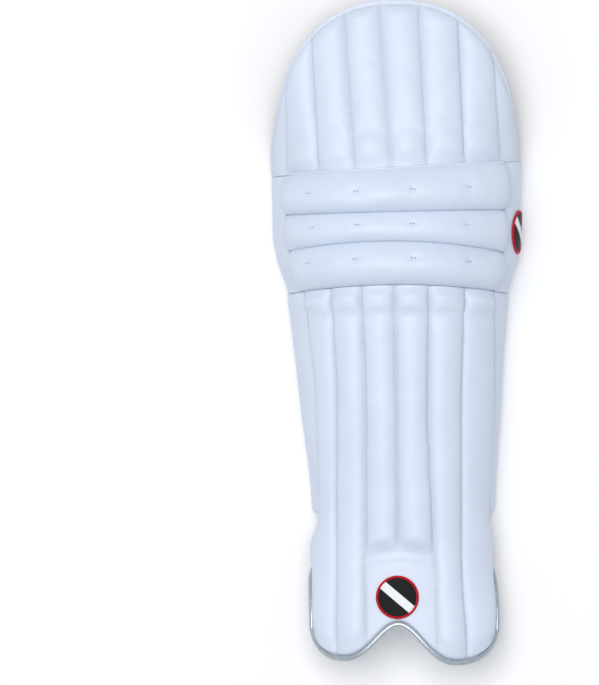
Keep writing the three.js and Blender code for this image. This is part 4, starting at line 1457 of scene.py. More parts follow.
@dataclass
class TopHat:
    """The domed thigh guard: eight upright ribs in front, a sewn rim, and a printed padded lining behind."""

    dome_x: float = -2.0
    dome_y: float = 178.0
    half_width: float = 137.0
    height: float = 182.0
    exponent: float = 2.35
    side_top: float = 215.0
    bottoms: Floats = (-137, -119, -86, -47, -6.5, 32, 73, 112, 134.5)
    tops: Floats = (-121, -94, -59, -20, 23, 66, 103.5)
    lumps: Noise = Noise(51, 0.8, (32.0, 1.0), 5.1)
    fine_lumps: Noise = Noise(52, 0.4, (13.0, 13.0))
    puckers: Noise = Noise(53, 0.8, (6.0, 1.0), 4.3)
    rib_columns: int = 18
    rows: int = 130
    rise: float = 7.0
    roundness: float = 0.5
    side_share: float = 0.4  # of the rise, in the narrow ribs at the sides
    seam_flat: float = 1.1
    foot_share: float = 0.35
    foot_length: float = 0.12  # this and what follows on dents are shares of the way up
    lump_length: float = 0.1
    dent: float = 0.22
    dent_bow: float = 0.05
    dent_drop: float = 0.02
    dent_wander: Noise = Noise(50, 0.02, (1 / 3.3, 1.0))
    dent_length: float = 0.05
    dent_share: float = 0.24
    bulge_share: float = 0.07
    bulge_drop: float = 0.11
    bulge_length: float = 0.06
    edge_steps: tuple[int, int] = (24, 260)  # up each side and over the dome
    rim: float = 3.0
    rim_radius: float = 2.2
    rim_sides: int = 12
    rim_out: float = 0.7
    rim_width: float = 3.6
    rim_slope: float = 12.0
    rim_from: float = 8.0
    rim_fade: float = 45.0
    rim_hem: float = 2.7
    rim_skip: int = 8
    # shade painted where the rim's slope starts, and how far it spreads
    rim_soil: float = 0.5
    rim_soil_width: float = 1.5
    stitch_rim: float = 9.0  # where the rows of stitches stop short of the rim
    stitch_foot: float = 0.02
    cord_span: Pair = (-0.84, 0.82)
    cord_steps: int = 420
    cord_radius: float = 1.2
    cord_sides: int = 10
    cord_out: float = 10.6
    cord_sway: Noise = Noise(54, 0.7, (9.0, 1.0))
    cord_bob: Noise = Noise(55, 0.6, (7.0, 1.0))
    lining: float = 9.0
    lining_edge: float = 2.5
    lining_flat: float = 4.0
    lining_slope: float = 14.0
    lining_foot: float = 3.0
    lining_lumps: Noise = Noise(60, 0.5, (30.0, 30.0))
    lining_lump_fade: float = 20.0
    lining_hem: float = 4.0
    lining_columns: int = 128
    lining_rows: int = 80

    @property
    def ribs(self) -> int:
        """Number of ribs."""
        return len(self.bottoms) - 1

    def turns(self) -> Array:
        """Turns round the dome outline where the seams end, from the inner side over the top.

        Returns:
            the turns, in radians.
        """
        side = math.asin(((self.side_top - self.dome_y) / self.height) ** (self.exponent / 2))
        tops = (self.dome_x - np.array(self.tops)) / self.half_width
        return np.concatenate([[side], np.arccos(signed_power(tops, self.exponent / 2)), [np.pi - side]])

    def spot(self, place: Array, v: Array) -> tuple[Array, Array]:
        """Points of the hat: columns run straight from the knee up to the dome outline.

        Args:
            place: places across, counted in ribs.
            v: places up, from 0 to 1.
        Returns:
            heights and angles.
        """
        seams = np.arange(self.ribs + 1)
        bottom_x = np.interp(place, seams, self.bottoms)
        turn = np.interp(place, seams, self.turns())
        power = 2 / self.exponent
        top_x = self.dome_x - self.half_width * signed_power(np.cos(turn), power)
        top_y = self.dome_y + self.height * np.maximum(0, np.sin(turn)) ** power
        low = KNEE_HAT.at(SHELL.share_of(SHELL.angle_at(self.dome_y, bottom_x, SEAM))) + KNEE_GAP
        y = mix(low, top_y, v)
        return y, SHELL.angle_at(y, mix(bottom_x, top_x, v), SEAM)

    def outline(self) -> tuple[Array, Array]:
        """The hat's edge: up one side, over the dome and down the other.

        Returns:
            heights and angles along it.
        """
        up = np.linspace(0, 1, self.edge_steps[0], endpoint=False)
        over = np.linspace(0, 1, self.edge_steps[1])
        place = np.concatenate([0 * up, over, 0 * up + 1]) * self.ribs
        return self.spot(place, np.concatenate([up, 0 * over + 1, 1 - up]))

    def rim_distance(self, points: Array) -> Array:
        """Distance of points in front view from the nearest point of the outline."""
        edge = SHELL.point(*self.outline(), SEAM)[:, :2].astype(np.float32)
        return np.sqrt(np.min(np.sum((points[..., None, :2].astype(np.float32) - edge) ** 2, -1), -1))

    def rim_line(self, inset: float) -> tuple[Array, Array]:
        """A line inside the outline.

        Args:
            inset: how far inside, in front view.
        Returns:
            heights and angles along it.
        """
        edge = SHELL.point(*self.outline(), SEAM)[:, :2]
        forward = unit(np.gradient(edge, axis=0))
        inner = edge + inset * np.stack([forward[:, 1], -forward[:, 0]], -1)
        x, y = inner[self.rim_skip:-self.rim_skip].T
        return y, SHELL.angle_at(y, x, SEAM)

    def seam_cord(self) -> Surface:
        """The crinkled cord sewn in where the hat meets the knee.

        Returns:
            its surface.
        """
        share = np.linspace(*self.cord_span, self.cord_steps)
        run = share * float(SHELL.column("half", self.dome_y))
        line = (
            KNEE_HAT.at(share) + self.cord_sway.on_line(run),
            SHELL.angle_of(share),
            self.cord_out + self.cord_bob.on_line(run),
        )
        size = (self.cord_radius, self.cord_sides)
        return tube(SHELL.point(*line), SHELL.outward(*line), *size, BINDING_NUMBER)

    def thickness(self, at: RibPlaces, v: Array, y: Array, arc: Array) -> Array:
        """Thickness of the front inside its rim: the seam's plus round ribs, dented across above the knee.

        Args:
            at: where the points are in the ribs.
            v: places up, from 0 to 1.
            y: heights.
            arc: millimetres across.
        Returns:
            the thickness.
        """
        share = np.where((at.rib == 0) | (at.rib == self.ribs - 1), self.side_share, 1)
        foot = mix(self.foot_share, 1, ease(v / self.foot_length))
        arched = self.dent + self.dent_bow * np.sin(np.pi * at.share) - self.dent_drop
        arched = arched + self.dent_wander.on_line(at.rib)
        dent = 1 - self.dent_share * bell((v - arched) / self.dent_length)
        dent = dent + self.bulge_share * bell((v - arched + self.bulge_drop) / self.bulge_length)
        lumps = self.lumps.on_strip(y, at.rib) + self.fine_lumps.at(y, arc)
        puckers = self.puckers.on_strip(y, at.half) * beside_seam(at.to_seam)
        ribbed = SEAM + self.rise * share * hump(at.share, self.roundness) * foot * dent
        return ribbed + (lumps * hump(at.share, SOFT) + puckers) * ease(v / self.lump_length)

    def build(self) -> None:
        """Builds the ribbed front with its rim, cord and stitches, then the lining."""
        place = np.arange(self.ribs * self.rib_columns + 1) / self.rib_columns
        v = steps(self.rows)[:, None]
        y, angle = self.spot(place, v)
        plain = SHELL.point(y, angle, SEAM)
        arc = run_length(plain, 1)
        at = rib_places(place, arc, self.rib_columns, self.seam_flat)
        to_rim = self.rim_distance(plain)
        thin = round_off(to_rim - self.rim_width, self.rim_slope)
        inside = mix(1, thin, ease((y - self.dome_y - self.rim_from) / self.rim_fade))
        out = mix(self.rim, self.thickness(at, v, y, arc), inside)
        # shade painted along the foot of the rim's slope and along the ribs' seams
        rim_soil = self.rim_soil * fall(np.abs(to_rim - self.rim_width), self.rim_soil_width)
        soil = np.maximum(fall(at.to_seam, SEAM_SHADE_WIDTH), rim_soil)
        surfaces = [face(y, angle, out, arc - arc[:, -1:] / 2, soil)]
        for c in range(self.rib_columns, self.ribs * self.rib_columns, self.rib_columns):
            kept = (to_rim[:, c] > self.stitch_rim) & (v[:, 0] > self.stitch_foot)
            surfaces.append(THREAD_STITCH.along(y[kept, c], angle[kept, c], out[kept, c]))
        surfaces.append(THREAD_STITCH.along(*self.rim_line(self.rim_hem), self.rim))
        edge = (*self.outline(), self.rim_out)
        rim = tube(SHELL.point(*edge), SHELL.outward(*edge), self.rim_radius, self.rim_sides, BINDING_NUMBER)
        surfaces += [rim, self.seam_cord()]
        add_piece("top_hat", surfaces, [LEATHER, THREAD, RIM_LEATHER], Softness.FULL)
        self.build_lining()

    def build_lining(self) -> None:
        """Builds the lining: a padded sheet behind the ribs, thinner towards its stitched edge."""
        place = steps(self.lining_columns) * self.ribs
        y, angle = self.spot(place, steps(self.lining_rows)[:, None])
        arc = run_length(SHELL.point(y, angle, -self.lining), 1)
        to_rim = self.rim_distance(SHELL.point(y, angle, SEAM))
        away = np.minimum(to_rim, y - y[:1] + self.lining_foot)
        depth = mix(self.lining_edge, self.lining, round_off(away - self.lining_flat, self.lining_slope))
        lumps = self.lining_lumps.at(arc, y) * ease(away / self.lining_lump_fade)
        back = SHELL.point(y, angle, -depth - lumps)
        sheet = slab(SHELL.point(y, angle, -GAP), back, back[..., :2])
        hem = THREAD_STITCH.along(*self.rim_line(self.lining_hem), -self.lining_edge, -1)
        add_piece("top_hat_lining", [sheet, hem], [HAT_PRINT, THREAD], Softness.FLAT)


@dataclass
class BackLining:
    """The white lining behind the shin and the knee: one wall from the toe to the top hat."""

    columns: int = 120
    rows: tuple[int, ...] = (60, 50, 12, 34)
    toe_inset: float = 1.0
    folds: Floats = (-0.66, -0.36, 0.34, 0.66)  # places as shares of the half width
    fold_depth: float = 1.2
    fold_width: float = 0.03
    fold_top: float = -238.0
    fold_fade: float = 15.0
    lumps: Noise = Noise(70, 0.4, (24.0, 24.0))
    lump_fade: float = 10.0
    edge: float = 2.5
    edge_round: float = 3.0
    hem_column: int = 4
    hem_skip: tuple[int, int] = (6, 4)  # rows without stitches below and above

    def build(self) -> None:
        """Builds the wall, with upright folds over the toe: its thickness less bell curves."""
        u = np.linspace(-1, 1, self.columns + 1)
        share = SHELL.share_of(u * SHELL.wrap(KNEE_HEIGHT))
        ones = np.ones_like(u)
        toe = TOE.of_angle(u * SHELL.wrap(TOE_HEIGHT)) + self.toe_inset
        knee = [KNEE_FOOT.at(share), KNEE_HAT.at(share) - GAP]
        y = row_heights(self.rows, [toe, HIP * ones, CREASE * ones, *knee])
        angle = u * SHELL.wrap(y)
        arc = run_length(SHELL.point(y, angle, -LINING), 1)
        away = np.minimum(np.minimum(arc, arc[:, -1:] - arc), y - toe)
        folds = sum(bell((SHELL.share_of(angle) - s) / self.fold_width) for s in self.folds)
        lumps = self.lumps.at(arc, y) * ease(away / self.lump_fade)
        relief = (self.fold_depth * folds - lumps) * ease((self.fold_top - y) / self.fold_fade)
        out = mix(-self.edge, relief - LINING, round_off(away, self.edge_round))
        back = SHELL.point(y, angle, out)
        cut = np.stack([arc - arc[:, -1:] / 2, y], -1)
        surfaces = [slab(SHELL.point(y, angle, -2 * GAP), back, cut)]
        for c in (self.hem_column, -1 - self.hem_column):
            line = (grid[self.hem_skip[0]:-self.hem_skip[1], c] for grid in (y, angle, out))
            surfaces.append(THREAD_STITCH.along(*line, -1))
        add_piece("back_lining", surfaces, [LINING_CLOTH, THREAD], Softness.FLAT)


@dataclass(frozen=True)
class Cushion:
    """One cushion sewn to the lining: heights, both ends there as shares of the half width, and rise."""

    name: str
    bottom: float
    top: float
    low: Pair
    high: Pair
    rise: float
    finish: Finish
    welt: Finish | None = None


@dataclass
class InnerCushions:
    """Three cushions behind the knee, two mesh bolsters behind the shin and a strip between them."""

    cushions: tuple[Cushion, ...] = (
        Cushion("knee_cushion_outer", 45, 180, (0.2, 0.95), (0.25, 0.95), 24, LEATHER, RIM_LEATHER),
        Cushion("knee_cushion_centre", 44, 176, (-0.39, 0.185), (-0.475, 0.235), 29, RED_PRINT, RED_CORD),
        Cushion("knee_cushion_inner", 45, 170, (-0.95, -0.405), (-0.95, -0.49), 24, LEATHER, RIM_LEATHER),
        Cushion("shin_bolster_outer", -239, 42, (0.165, 0.77), (0.165, 0.77), 29, MESH),
        Cushion("shin_bolster_inner", -239, 42, (-0.935, -0.385), (-0.935, -0.385), 29, MESH),
        Cushion("shin_strip", -239, 41, (-0.37, 0.15), (-0.37, 0.15), 7, STRIP_PRINT),
    )
    seat: float = -LINING - 0.8
    seam: float = 3.0
    roundness: float = 0.6
    end_round: float = 22.0
    cell: float = 4.5
    arch_share: float = 1.2  # length across the arch for its width in front view
    fewest_columns: int = 8
    pull_in: float = 0.8  # how far the sides bow in between the corners
    bow_power: int = 5  # keeps that bow close to the two ends
    lumps: Noise = Noise(80, 0.05, (26.0, 0.25))
    start_share: float = 0.9  # of the rise, before the filling swells it
    swell_cap: float = 6.0
    pressure: float = 8.0
    fullness: float = 0.05  # how much more cloth there is than the outline needs
    quality: int = 5
    frames: int = 20
    subdivisions: int = 1
    welt_radius: float = 1.1
    welt_sides: int = 8
    welt_share: float = 0.6  # of the seam's depth

    def build(self) -> None:
        """Builds the cushions and lets their filling swell them."""
        pieces = [self.build_cushion(cushion) for cushion in self.cushions]
        self.swell(pieces)
        for piece, _ in pieces:
            smooth = piece.modifiers.new("smooth", "SUBSURF")
            smooth.levels = smooth.render_levels = self.subdivisions

    def build_cushion(self, cushion: Cushion) -> tuple[bpy.types.Object, Array]:
        """Builds one cushion: flat against the lining, crowned towards the leg, with sides that bow in.

        The crown is half a sine across, to a power, times a quarter circle from each end.

        Args:
            cushion: its sizes.
        Returns:
            the piece, and which of its points are sewn down.
        """
        length = cushion.top - cushion.bottom
        half = float(SHELL.column("half", (cushion.bottom + cushion.top) / 2))
        breadth = (cushion.low[1] - cushion.low[0]) * half * self.arch_share
        u = steps(max(self.fewest_columns, round(breadth / self.cell)))
        v = steps(round(length / self.cell))[:, None]
        bow = self.pull_in / half * np.sin(np.pi * v)
        start = mix(cushion.low[0], cushion.high[0], v) + bow
        end = mix(cushion.low[1], cushion.high[1], v) - bow
        share = mix(start, end, u)
        end_bow = self.pull_in * np.sin(np.pi * u) * (1 - 2 * v) ** self.bow_power
        y = mix(cushion.bottom, cushion.top, v) + end_bow
        crown = hump(u, self.roundness) * round_off(np.minimum(v, 1 - v) * length, self.end_round)
        lumps = 1 + self.lumps.sown(len(cushion.name)).at(y, share)
        out = self.seat - self.seam - cushion.rise * self.start_share * crown * lumps
        angle = SHELL.angle_of(share)
        seat = SHELL.point(y, angle, self.seat)
        crest = SHELL.point(y, angle, out)
        flat = np.stack([run_length(crest, 1), y], -1)
        spread = np.stack(np.broadcast_arrays(2 * u - 1, 2 * v - 1), -1) * self.seam
        surface = slab(seat, crest, flat + spread, back_cut=flat)
        piece = add_piece(cushion.name, [surface], [cushion.finish], Softness.FULL, crease=180.0)
        free = np.zeros(share.shape, bool)
        free[1:-1, 1:-1] = True
        if cushion.welt:
            self.build_welt(cushion, y, angle)
        return piece, np.concatenate([np.ones(free.size, bool), ~free.ravel()])

    def build_welt(self, cushion: Cushion, y: Array, angle: Array) -> None:
        """Builds the thin cord sewn round a cushion's edge: a circle carried round its outline.

        Args:
            cushion: the cushion.
            y: its grid's heights.
            angle: its grid's angles.
        """
        line = (rim_of(y), rim_of(angle), self.seat - self.seam * self.welt_share)
        path, out = SHELL.point(*line), SHELL.outward(*line)
        forward = unit(np.roll(path, -1, 0) - np.roll(path, 1, 0))
        side = unit(np.cross(forward, out))
        profile = circle(self.welt_radius, self.welt_sides)
        cord = sweep(path, side, np.cross(forward, side), profile, closed=True)
        add_piece(f"{cushion.name}_welt", [cord], [cushion.welt], has_node=False)

    def swell(self, pieces: list[tuple[bpy.types.Object, Array]]) -> None:
        """Runs cloth with inner pressure on the cushions, and keeps the shape that it gives, within a cap.

        Args:
            pieces: the cushions, each with its sewn points.
        """
        for piece, sewn in pieces:
            group = piece.vertex_groups.new(name="sewn")
            group.add(np.flatnonzero(sewn).tolist(), 1.0, "REPLACE")
            cloth = piece.modifiers.new("cloth", "CLOTH")
            cloth.settings.vertex_group_mass = "sewn"
            cloth.settings.use_pressure = True
            cloth.settings.uniform_pressure_force = self.pressure
            cloth.settings.shrink_min = -self.fullness
            cloth.settings.effector_weights.gravity = 0.0
            cloth.settings.quality = self.quality
            cloth.collision_settings.use_collision = False
            cloth.point_cache.frame_end = self.frames
        for step in range(1, self.frames + 1):
            bpy.context.scene.frame_set(step)
        graph = bpy.context.evaluated_depsgraph_get()
        for piece, _ in pieces:
            rest, moved = (np.empty(len(piece.data.vertices) * 3, np.float32) for _ in range(2))
            piece.data.vertices.foreach_get("co", rest)
            piece.evaluated_get(graph).data.vertices.foreach_get("co", moved)
            move = (moved - rest).reshape(-1, 3)
            size = np.linalg.norm(move, axis=1, keepdims=True)
            move *= np.minimum(1, self.swell_cap * MM / np.maximum(size, TINY))
            LOG.info("%s swells by up to %.1f mm", piece.name, size.max() / MM)
            piece.modifiers.remove(piece.modifiers["cloth"])
            piece.vertex_groups.clear()
            piece.data.vertices.foreach_set("co", rest + move.ravel())
            piece.data.update()
        bpy.context.scene.frame_set(1)


@dataclass(frozen=True)
class StrapSize:
    """One strap: place, width, slant, height over the edges that it spans, ring place, tab and stripes."""

    name: str
    y: float
    width: float
    slant: float
    clearance: float
    inset: float
    tab_fold: float
    stripes: tuple[tuple[float, str], ...]  # where each colour starts, as a share of the width


@dataclass
class Straps:
    """Elastic straps across the open back, each joined to a short tab by an oval two-slot ring."""

    knee: StrapSize = StrapSize("knee_strap", 74, 41, 0.0, 1.0, 23, 6, (
        (0.3, GREY_STRIPE), (0.35, WHITE_STRIPE), (0.38, RED_STRIPE), (0.5, BLACK_STRIPE),
        (0.66, GREY_STRIPE), (0.74, WHITE_STRIPE),
    ))
    calf: StrapSize = StrapSize("calf_strap", -73, 68, -0.04, 2.4, 16, 8, (
        (0.265, GREY_STRIPE), (0.34, WHITE_STRIPE), (0.373, RED_STRIPE), (0.47, BLACK_STRIPE),
        (0.566, WHITE_STRIPE), (0.61, GREY_STRIPE), (0.68, WHITE_STRIPE),
    ))
    ankle: StrapSize = StrapSize("ankle_strap", -264, 32, -0.05, 2.0, 24, 6, (
        (0.2, RED_STRIPE), (0.32, BLACK_STRIPE), (0.45, GREY_STRIPE), (0.53, WHITE_STRIPE),
    ))
    webbing: float = 2.2
    selvedge: float = 0.45  # of the thickness, along both edges
    selvedge_round: float = 1.2
    roughness: float = 0.75
    sewn_degrees: float = 11.0
    sewn_stops: Floats = (1.0, 0.75, 0.5, 0.25, 0.08)  # of the sewn stretch, down to its corner
    span_stops: Floats = (0.03, *np.linspace(0.1, 0.9, 7))  # of the way from the wall to the slot
    bend: float = 2.0  # where the band turns, beside the slot
    climb_stops: Floats = (0.3, 0.7)  # of the way up through the slot
    fold_stops: Floats = (0.4, 0.7, 1.0)  # of the folded length
    fold: float = 42.0
    seat: float = -LINING - 1.2
    across: int = 16
    cuts: int = 3
    cut_share: float = 0.25
    ring_length: float = 25.0
    ring_margin: float = 4.6
    ring_thickness: float = 2.8
    ring_exponent: float = 2.4
    ring_steps: int = 96
    centre_bar: float = 5.0
    bar_margin: float = 2.5
    bar_steps: int = 9
    slot: float = 3.6
    slot_exponent: float = 9.0
    edge_exponent: float = 3.5
    edge_steps: int = 16
    panel_to: float = 30.0
    panel_width: float = 61.0
    panel_slope: float = 18.0
    panel_thickness: float = 1.2
    panel_edge: float = 0.5  # of the thickness
    panel_round: float = 1.5
    panel_reach: Pair = (90.0, 60.0)  # its mean length and width, to measure from its edges
    panel_rows: int = 24
    panel_columns: int = 60

    def build(self) -> None:
        """Builds each strap with its tab and ring, and the printed panel on the calf strap."""
        for strap in (self.knee, self.calf, self.ankle):
            level = self.level(strap)
            outer = SHELL.point(strap.y, SHELL.angle_at_level(strap.y, level, self.seat), self.seat)[0]
            ring_x = outer - strap.inset
            offset = (self.centre_bar + self.slot) / 2
            self.build_band(strap, strap.name, -1, ring_x - offset, self.fold)
            self.build_band(strap, f"{strap.name}_tab", 1, ring_x + offset, strap.tab_fold)
            self.build_ring(strap, ring_x, level)
        self.build_panel(self.calf)

    def level(self, strap: StrapSize) -> float:
        """Height above the floor of a strap's outer face where it crosses the open back."""
        lowest = strap.y - strap.width / 2 - abs(strap.slant) * float(SHELL.column("half", strap.y))
        return float(SHELL.point(lowest, SHELL.wrap(lowest), -LINING)[2]) + strap.clearance

    def middle_line(self, strap: StrapSize, y: Array, side: int, slot_x: float, fold: float) -> Array:
        """The middle of a band: sewn to the lining, across to a ring's slot, up through it and folded back.

        It runs through a few stops, whose corners are rounded by cutting each of them a few times.

        Args:
            strap: its sizes.
            y: heights across it.
            side: -1 from the inner lining, 1 from the outer.
            slot_x: place of the slot.
            fold: length that is folded back.
        Returns:
            points, along the band and across it.
        """
        half = self.webbing / 2
        low = self.level(strap) + half
        high = low + self.webbing + self.ring_thickness + 2 * GAP
        wall_y = y + strap.slant * side * SHELL.column("half", y)
        corner = SHELL.angle_at_level(wall_y, low, self.seat - half)
        sewn = math.radians(self.sewn_degrees)
        stops = [SHELL.point(wall_y, side * (corner - sewn * t), self.seat - half) for t in self.sewn_stops]
        wall_x = stops[-1][:, 0]

        def clear(x: Value, z: float) -> Array:
            """A stop clear of the wall."""
            return np.stack(np.broadcast_arrays(x, y + strap.slant * x, z), -1)

        stops += [clear(mix(wall_x, slot_x, t), low) for t in self.span_stops]
        stops += [clear(slot_x + side * d, low) for d in (self.bend, 0.0)]
        stops += [clear(slot_x, mix(low, high, t)) for t in self.climb_stops]
        stops += [clear(slot_x + side * d, high) for d in (0.0, self.bend)]
        stops += [clear(slot_x + side * fold * t, high) for t in self.fold_stops]
        path = np.stack(stops)
        for _ in range(self.cuts):
            cut = np.stack([mix(path[:-1], path[1:], t) for t in (self.cut_share, 1 - self.cut_share)], 1)
            path = np.concatenate([path[:1], cut.reshape(-1, *path.shape[1:])[1:-1], path[-1:]])
        return path

    def build_band(self, strap: StrapSize, name: str, side: int, slot_x: float, fold: float) -> None:
        """Builds a band of webbing: a sheet on both sides of its middle line, thinner along its edges.

        Args:
            strap: its sizes.
            name: name of the piece.
            side: -1 from the inner lining, 1 from the outer.
            slot_x: place of the slot.
            fold: length that is folded back.
        """
        y = strap.y + np.linspace(-0.5, 0.5, self.across + 1) * strap.width
        path = self.middle_line(strap, y, side, slot_x, fold)
        run = run_length(path, 0)
        length = float(run[-1].mean())
        leg = unit(np.cross(unit(np.gradient(path, axis=0)), unit(np.gradient(path, axis=1)))) * -side
        across = np.broadcast_to(y - strap.y, run.shape)
        edge = round_off(strap.width / 2 - np.abs(across), self.selvedge_round)[..., None]
        thick = self.webbing / 2 * mix(self.selvedge, 1, edge)
        grids = (path + leg * thick, path - leg * thick, np.stack([run, across], -1))
        sheet = slab(*(np.swapaxes(g, 0, 1)[:, ::-side] for g in grids))
        finish = ElasticWebbing(
            f"striped elastic webbing {strap.name}", WHITE_STRIPE, self.roughness, "webbing",
            width_mm=strap.width, stripes=strap.stripes,
        )
        band = add_piece(name, [sheet], [finish])
        LOG.info("%s is %.0f x %.0f mm flat", name, strap.width, length)

    def build_ring(self, strap: StrapSize, ring_x: float, level: float) -> None:
        """Builds an oval ring: a rounded profile between two superellipses, and a straight centre bar.

        Args:
            strap: the strap that it joins.
            ring_x: its place across the pad.
            level: height of the strap's outer face.
        """
        turn, lobe = turns_round(self.ring_steps), turns_round(self.edge_steps)

        def loop_of(half_x: float, half_y: float, exponent: float) -> Array:
            """A superellipse: half sizes times the cosine and the sine, each to the power 2 / exponent."""
            ways = [signed_power(f(turn), 2 / exponent) for f in (np.cos, np.sin)]
            return np.stack([half_x * ways[0], half_y * ways[1], 0 * turn], -1)

        half = strap.width / 2
        outer = loop_of(self.ring_length / 2, half + self.ring_margin, self.ring_exponent)
        inner = loop_of(self.centre_bar / 2 + self.slot, half + 3 * GAP, self.slot_exponent)
        middle, breadth = (outer + inner) / 2, (outer - inner) / 2
        height = level + self.webbing + GAP + self.ring_thickness / 2
        centre = np.array((ring_x, strap.y + strap.slant * ring_x, height))
        profile = np.stack([signed_power(f(lobe), 2 / self.edge_exponent) for f in (np.cos, np.sin)], -1)
        down = np.array((0.0, 0.0, -self.ring_thickness / 2))
        deep = np.broadcast_to(down, middle.shape)
        loop = sweep(centre + middle, breadth, deep, profile[::-1], closed=True)
        ends = np.linspace(-1, 1, self.bar_steps)[:, None] * np.array((0.0, half + self.bar_margin, 0.0))
        wide = np.broadcast_to(np.array((self.centre_bar / 2, 0.0, 0.0)), ends.shape)
        bar = sweep(centre + ends, wide, np.broadcast_to(down, ends.shape), profile)
        add_piece(f"{strap.name}_ring", [loop, bar], [RING_PLASTIC])

    def build_panel(self, strap: StrapSize) -> None:
        """Builds the panel on a strap's outer face: flat, pointed at one end and slanting at the other.

        Args:
            strap: the strap.
        """
        t = steps(self.panel_rows)[:, None]
        s = steps(self.panel_columns)
        start = PATCH_FROM + self.panel_slope * np.abs(2 * t - 1)
        end = mix(self.panel_to - self.panel_slope, self.panel_to, t)
        x = mix(start, end, s)
        y = strap.y + (t - 0.5) * self.panel_width + strap.slant * x
        top = self.level(strap) - GAP
        to_end, to_side = (np.minimum(p, 1 - p) * size for p, size in zip((s, t), self.panel_reach))
        edge = round_off(np.minimum(to_end, to_side), self.panel_round)
        thick = self.panel_thickness * mix(self.panel_edge, 1, edge)
        upper = np.stack([x, y, np.full_like(x, top)], -1)
        lower = np.stack([x, y, top - thick], -1)
        cut = np.stack(np.broadcast_arrays(s, t), -1)
        panel = add_piece("calf_strap_patch", [slab(upper, lower, cut)], [PANEL])


@dataclass(frozen=True)
class BadgeSize:
    """One oval badge: its middle across and along the pad, half sizes, thickness and seat."""

    name: str
    x: float
    y: float
    half_width: float
    half_height: float
    thickness: float
    seat: float  # out from the shell line


@dataclass
class Badges:
    """Oval rubber badges with a raised rim, a recessed ground and a raised sash."""

    shin: BadgeSize = BadgeSize("shin_badge", 0, -286, 23, 23.5, 3, SEAM + GAP)
    hat: BadgeSize = BadgeSize("hat_badge", -2, 268, 38, 42, 4, -9.8)
    side: BadgeSize = BadgeSize("side_badge", 76, 111, 11, 24, 2, GAP)  # across and half width in degrees
    cells: int = 72
    rim_at: float = 0.945  # this and what follows are shares of the half size, and of the thickness
    rim_half: float = 0.055
    ground: float = 0.55
    crown: float = 0.1
    sash_height: float = 0.2
    sash_slope: float = 0.06
    sash_end: float = 0.05
    edge_slope: float = 0.06
    edge_start: float = 0.4
    outside: float = 0.99
    outside_height: float = 0.5

    def disc(self) -> tuple[Array, Array]:
        """A square grid mapped on the unit disc: a = p sqrt(1 - q q / 2), b = q sqrt(1 - p p / 2).

        Returns:
            the places across and up.
        """
        p = np.linspace(-1, 1, self.cells + 1)
        q = p[:, None]
        return p * np.sqrt(1 - q * q / 2), q * np.sqrt(1 - p * p / 2)

    def relief(self, a: Array, b: Array) -> Array:
        """Relief of a badge: a bell-shaped rim, a lower ground with a slight crown, and a sash across it.

        Args:
            a: places across.
            b: places up.
        Returns:
            the height there, as a share of the thickness.
        """
        reach = np.hypot(a, b)
        rim = bell((reach - self.rim_at) / self.rim_half)
        turn = math.radians(BADGE.sash_turn)
        off_sash = np.abs(a * math.sin(turn) + b * math.cos(turn)) - BADGE.sash_half
        sash = ease(0.5 - off_sash / self.sash_slope) * ease((BADGE.rim_from - reach) / self.sash_end)
        ground = self.ground + self.sash_height * sash + self.crown * (1 - reach ** 2)
        inner = ground * ease((1 - reach) / self.edge_slope + self.edge_start)
        return np.where(reach > self.outside, self.outside_height, np.maximum(inner, rim))

    def build(self) -> None:
        """Builds the badges on the shin, behind the top hat and on the outer side roll."""
        a, b = self.disc()
        for badge in (self.shin, self.hat):
            y = badge.y + b * badge.half_height
            angle = SHELL.angle_at(y, badge.x + a * badge.half_width, SEAM)
            self.add(badge, y, angle, np.full_like(y, badge.seat), -1 if badge.seat < 0 else 1)
        rolls, side = KneeRolls(), self.side
        angle = np.radians(side.x + a * side.half_width)
        start = rolls.side_start(1)
        reach = (angle - start) / (np.pi / 2 - start)
        seat = rolls.side_thickness(reach, rolls.outer_side.rise) + side.seat
        self.add(side, side.y + b * side.half_height, angle, seat, 1)

    def add(self, badge: BadgeSize, y: Array, angle: Array, seat: Array, way: int) -> None:
        """Adds one badge as a closed sheet between its seat and its relief.

        Args:
            badge: its sizes.
            y: its heights.
            angle: its angles.
            seat: where it sits, out from the shell line.
            way: 1 if it faces outwards, -1 if it faces the leg.
        """
        a, b = self.disc()
        outs = (seat + way * badge.thickness * self.relief(a * way, b), seat)
        front, back = (SHELL.point(y, angle, out) for out in outs[::way])
        add_piece(badge.name, [slab(front, back, np.stack([a * way, b], -1))], [BADGE])


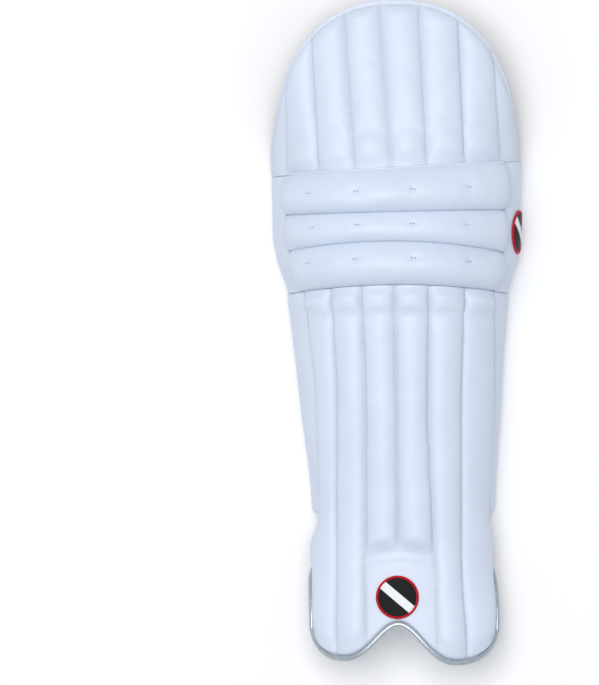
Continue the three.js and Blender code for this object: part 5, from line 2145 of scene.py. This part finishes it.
@dataclass
class Studio:
    """Pale floor, soft overhead light and the camera, which looks straight down on the pad."""

    pixel_mm: float = 1.0893  # of the pad in a pixel of the 599 x 685 frame
    frame_pixels: tuple[int, int] = (599, 685)
    pad_pixel: Pair = (397.0, 333.5)  # the pixel over the section table's origin
    camera_height: float = 6.0
    sensor: float = 36.0
    floor_half: float = 80.0
    sky: str = "#f3f6fb"
    sky_strength: float = 0.52
    key_power: float = 184.0
    key_size: float = 3.4
    key_place: tuple[float, float, float] = (-0.6, 0.6, 5.2)

    def build(self) -> None:
        """Builds the floor, the light, the sky and the camera."""
        scene = bpy.context.scene
        scene.view_settings.view_transform = "Standard"
        half = self.floor_half
        mesh = bpy.data.meshes.new("floor")
        corners = [(-half, -half, 0), (half, -half, 0), (half, half, 0), (-half, half, 0)]
        mesh.from_pydata(corners, [], [(0, 1, 2, 3)])
        mesh.materials.append(FLOOR.material())
        floor = bpy.data.objects.new("floor", mesh)
        scene.collection.objects.link(floor)
        floor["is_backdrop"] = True
        world = bpy.data.worlds.new("studio")
        world.use_nodes = True
        background = world.node_tree.nodes["Background"]
        background.inputs["Color"].default_value = linear(self.sky)
        background.inputs["Strength"].default_value = self.sky_strength
        scene.world = world
        light = bpy.data.lights.new("softbox", "AREA")
        light.energy = self.key_power
        light.size = self.key_size
        box = bpy.data.objects.new("softbox", light)
        box.location = self.key_place
        box.rotation_euler = (-Vector(self.key_place)).to_track_quat("-Z", "Y").to_euler()
        box.visible_camera = False
        scene.collection.objects.link(box)
        self.build_camera()

    def build_camera(self) -> None:
        """Builds the camera over the middle of the frame, with a lens that gives its scale at mid height."""
        width, height = self.frame_pixels
        camera = bpy.data.cameras.new("camera")
        camera.sensor_width = self.sensor
        distance = self.camera_height - (CAD_BOX[0].z + CAD_BOX[1].z) / 2
        camera.lens = self.sensor * distance / (max(width, height) * self.pixel_mm * MM)
        eye = bpy.data.objects.new("camera", camera)
        x = (width / 2 - self.pad_pixel[0]) * self.pixel_mm + SHIFT[0]
        y = (self.pad_pixel[1] - height / 2) * self.pixel_mm + SHIFT[1]
        eye.location = (x * MM, y * MM, self.camera_height)
        bpy.context.scene.collection.objects.link(eye)
        bpy.context.scene.camera = eye


def write_sizes() -> None:
    """Works out the frame's box and the dressed pad's box, each as its lowest and highest corner."""
    boxes = {"cad": CAD_BOX, "visual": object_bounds()}
    {name: [list(low), list(high)] for name, (low, high) in boxes.items()}


def main() -> None:
    """Builds the studio and every sub-assembly in order."""
    logging.basicConfig(level=logging.INFO, format="%(name)s: %(message)s")
    front = (TopHat(), KneeRolls(), ShinFace(), ToePiping())
    back = (BackLining(), InnerCushions(), Straps())
    for part in (Studio(), *front, *back, Badges()):
        part.build()
        LOG.info("%s is built", type(part).__name__)
    write_sizes()


if __name__ == "__main__":
    main()
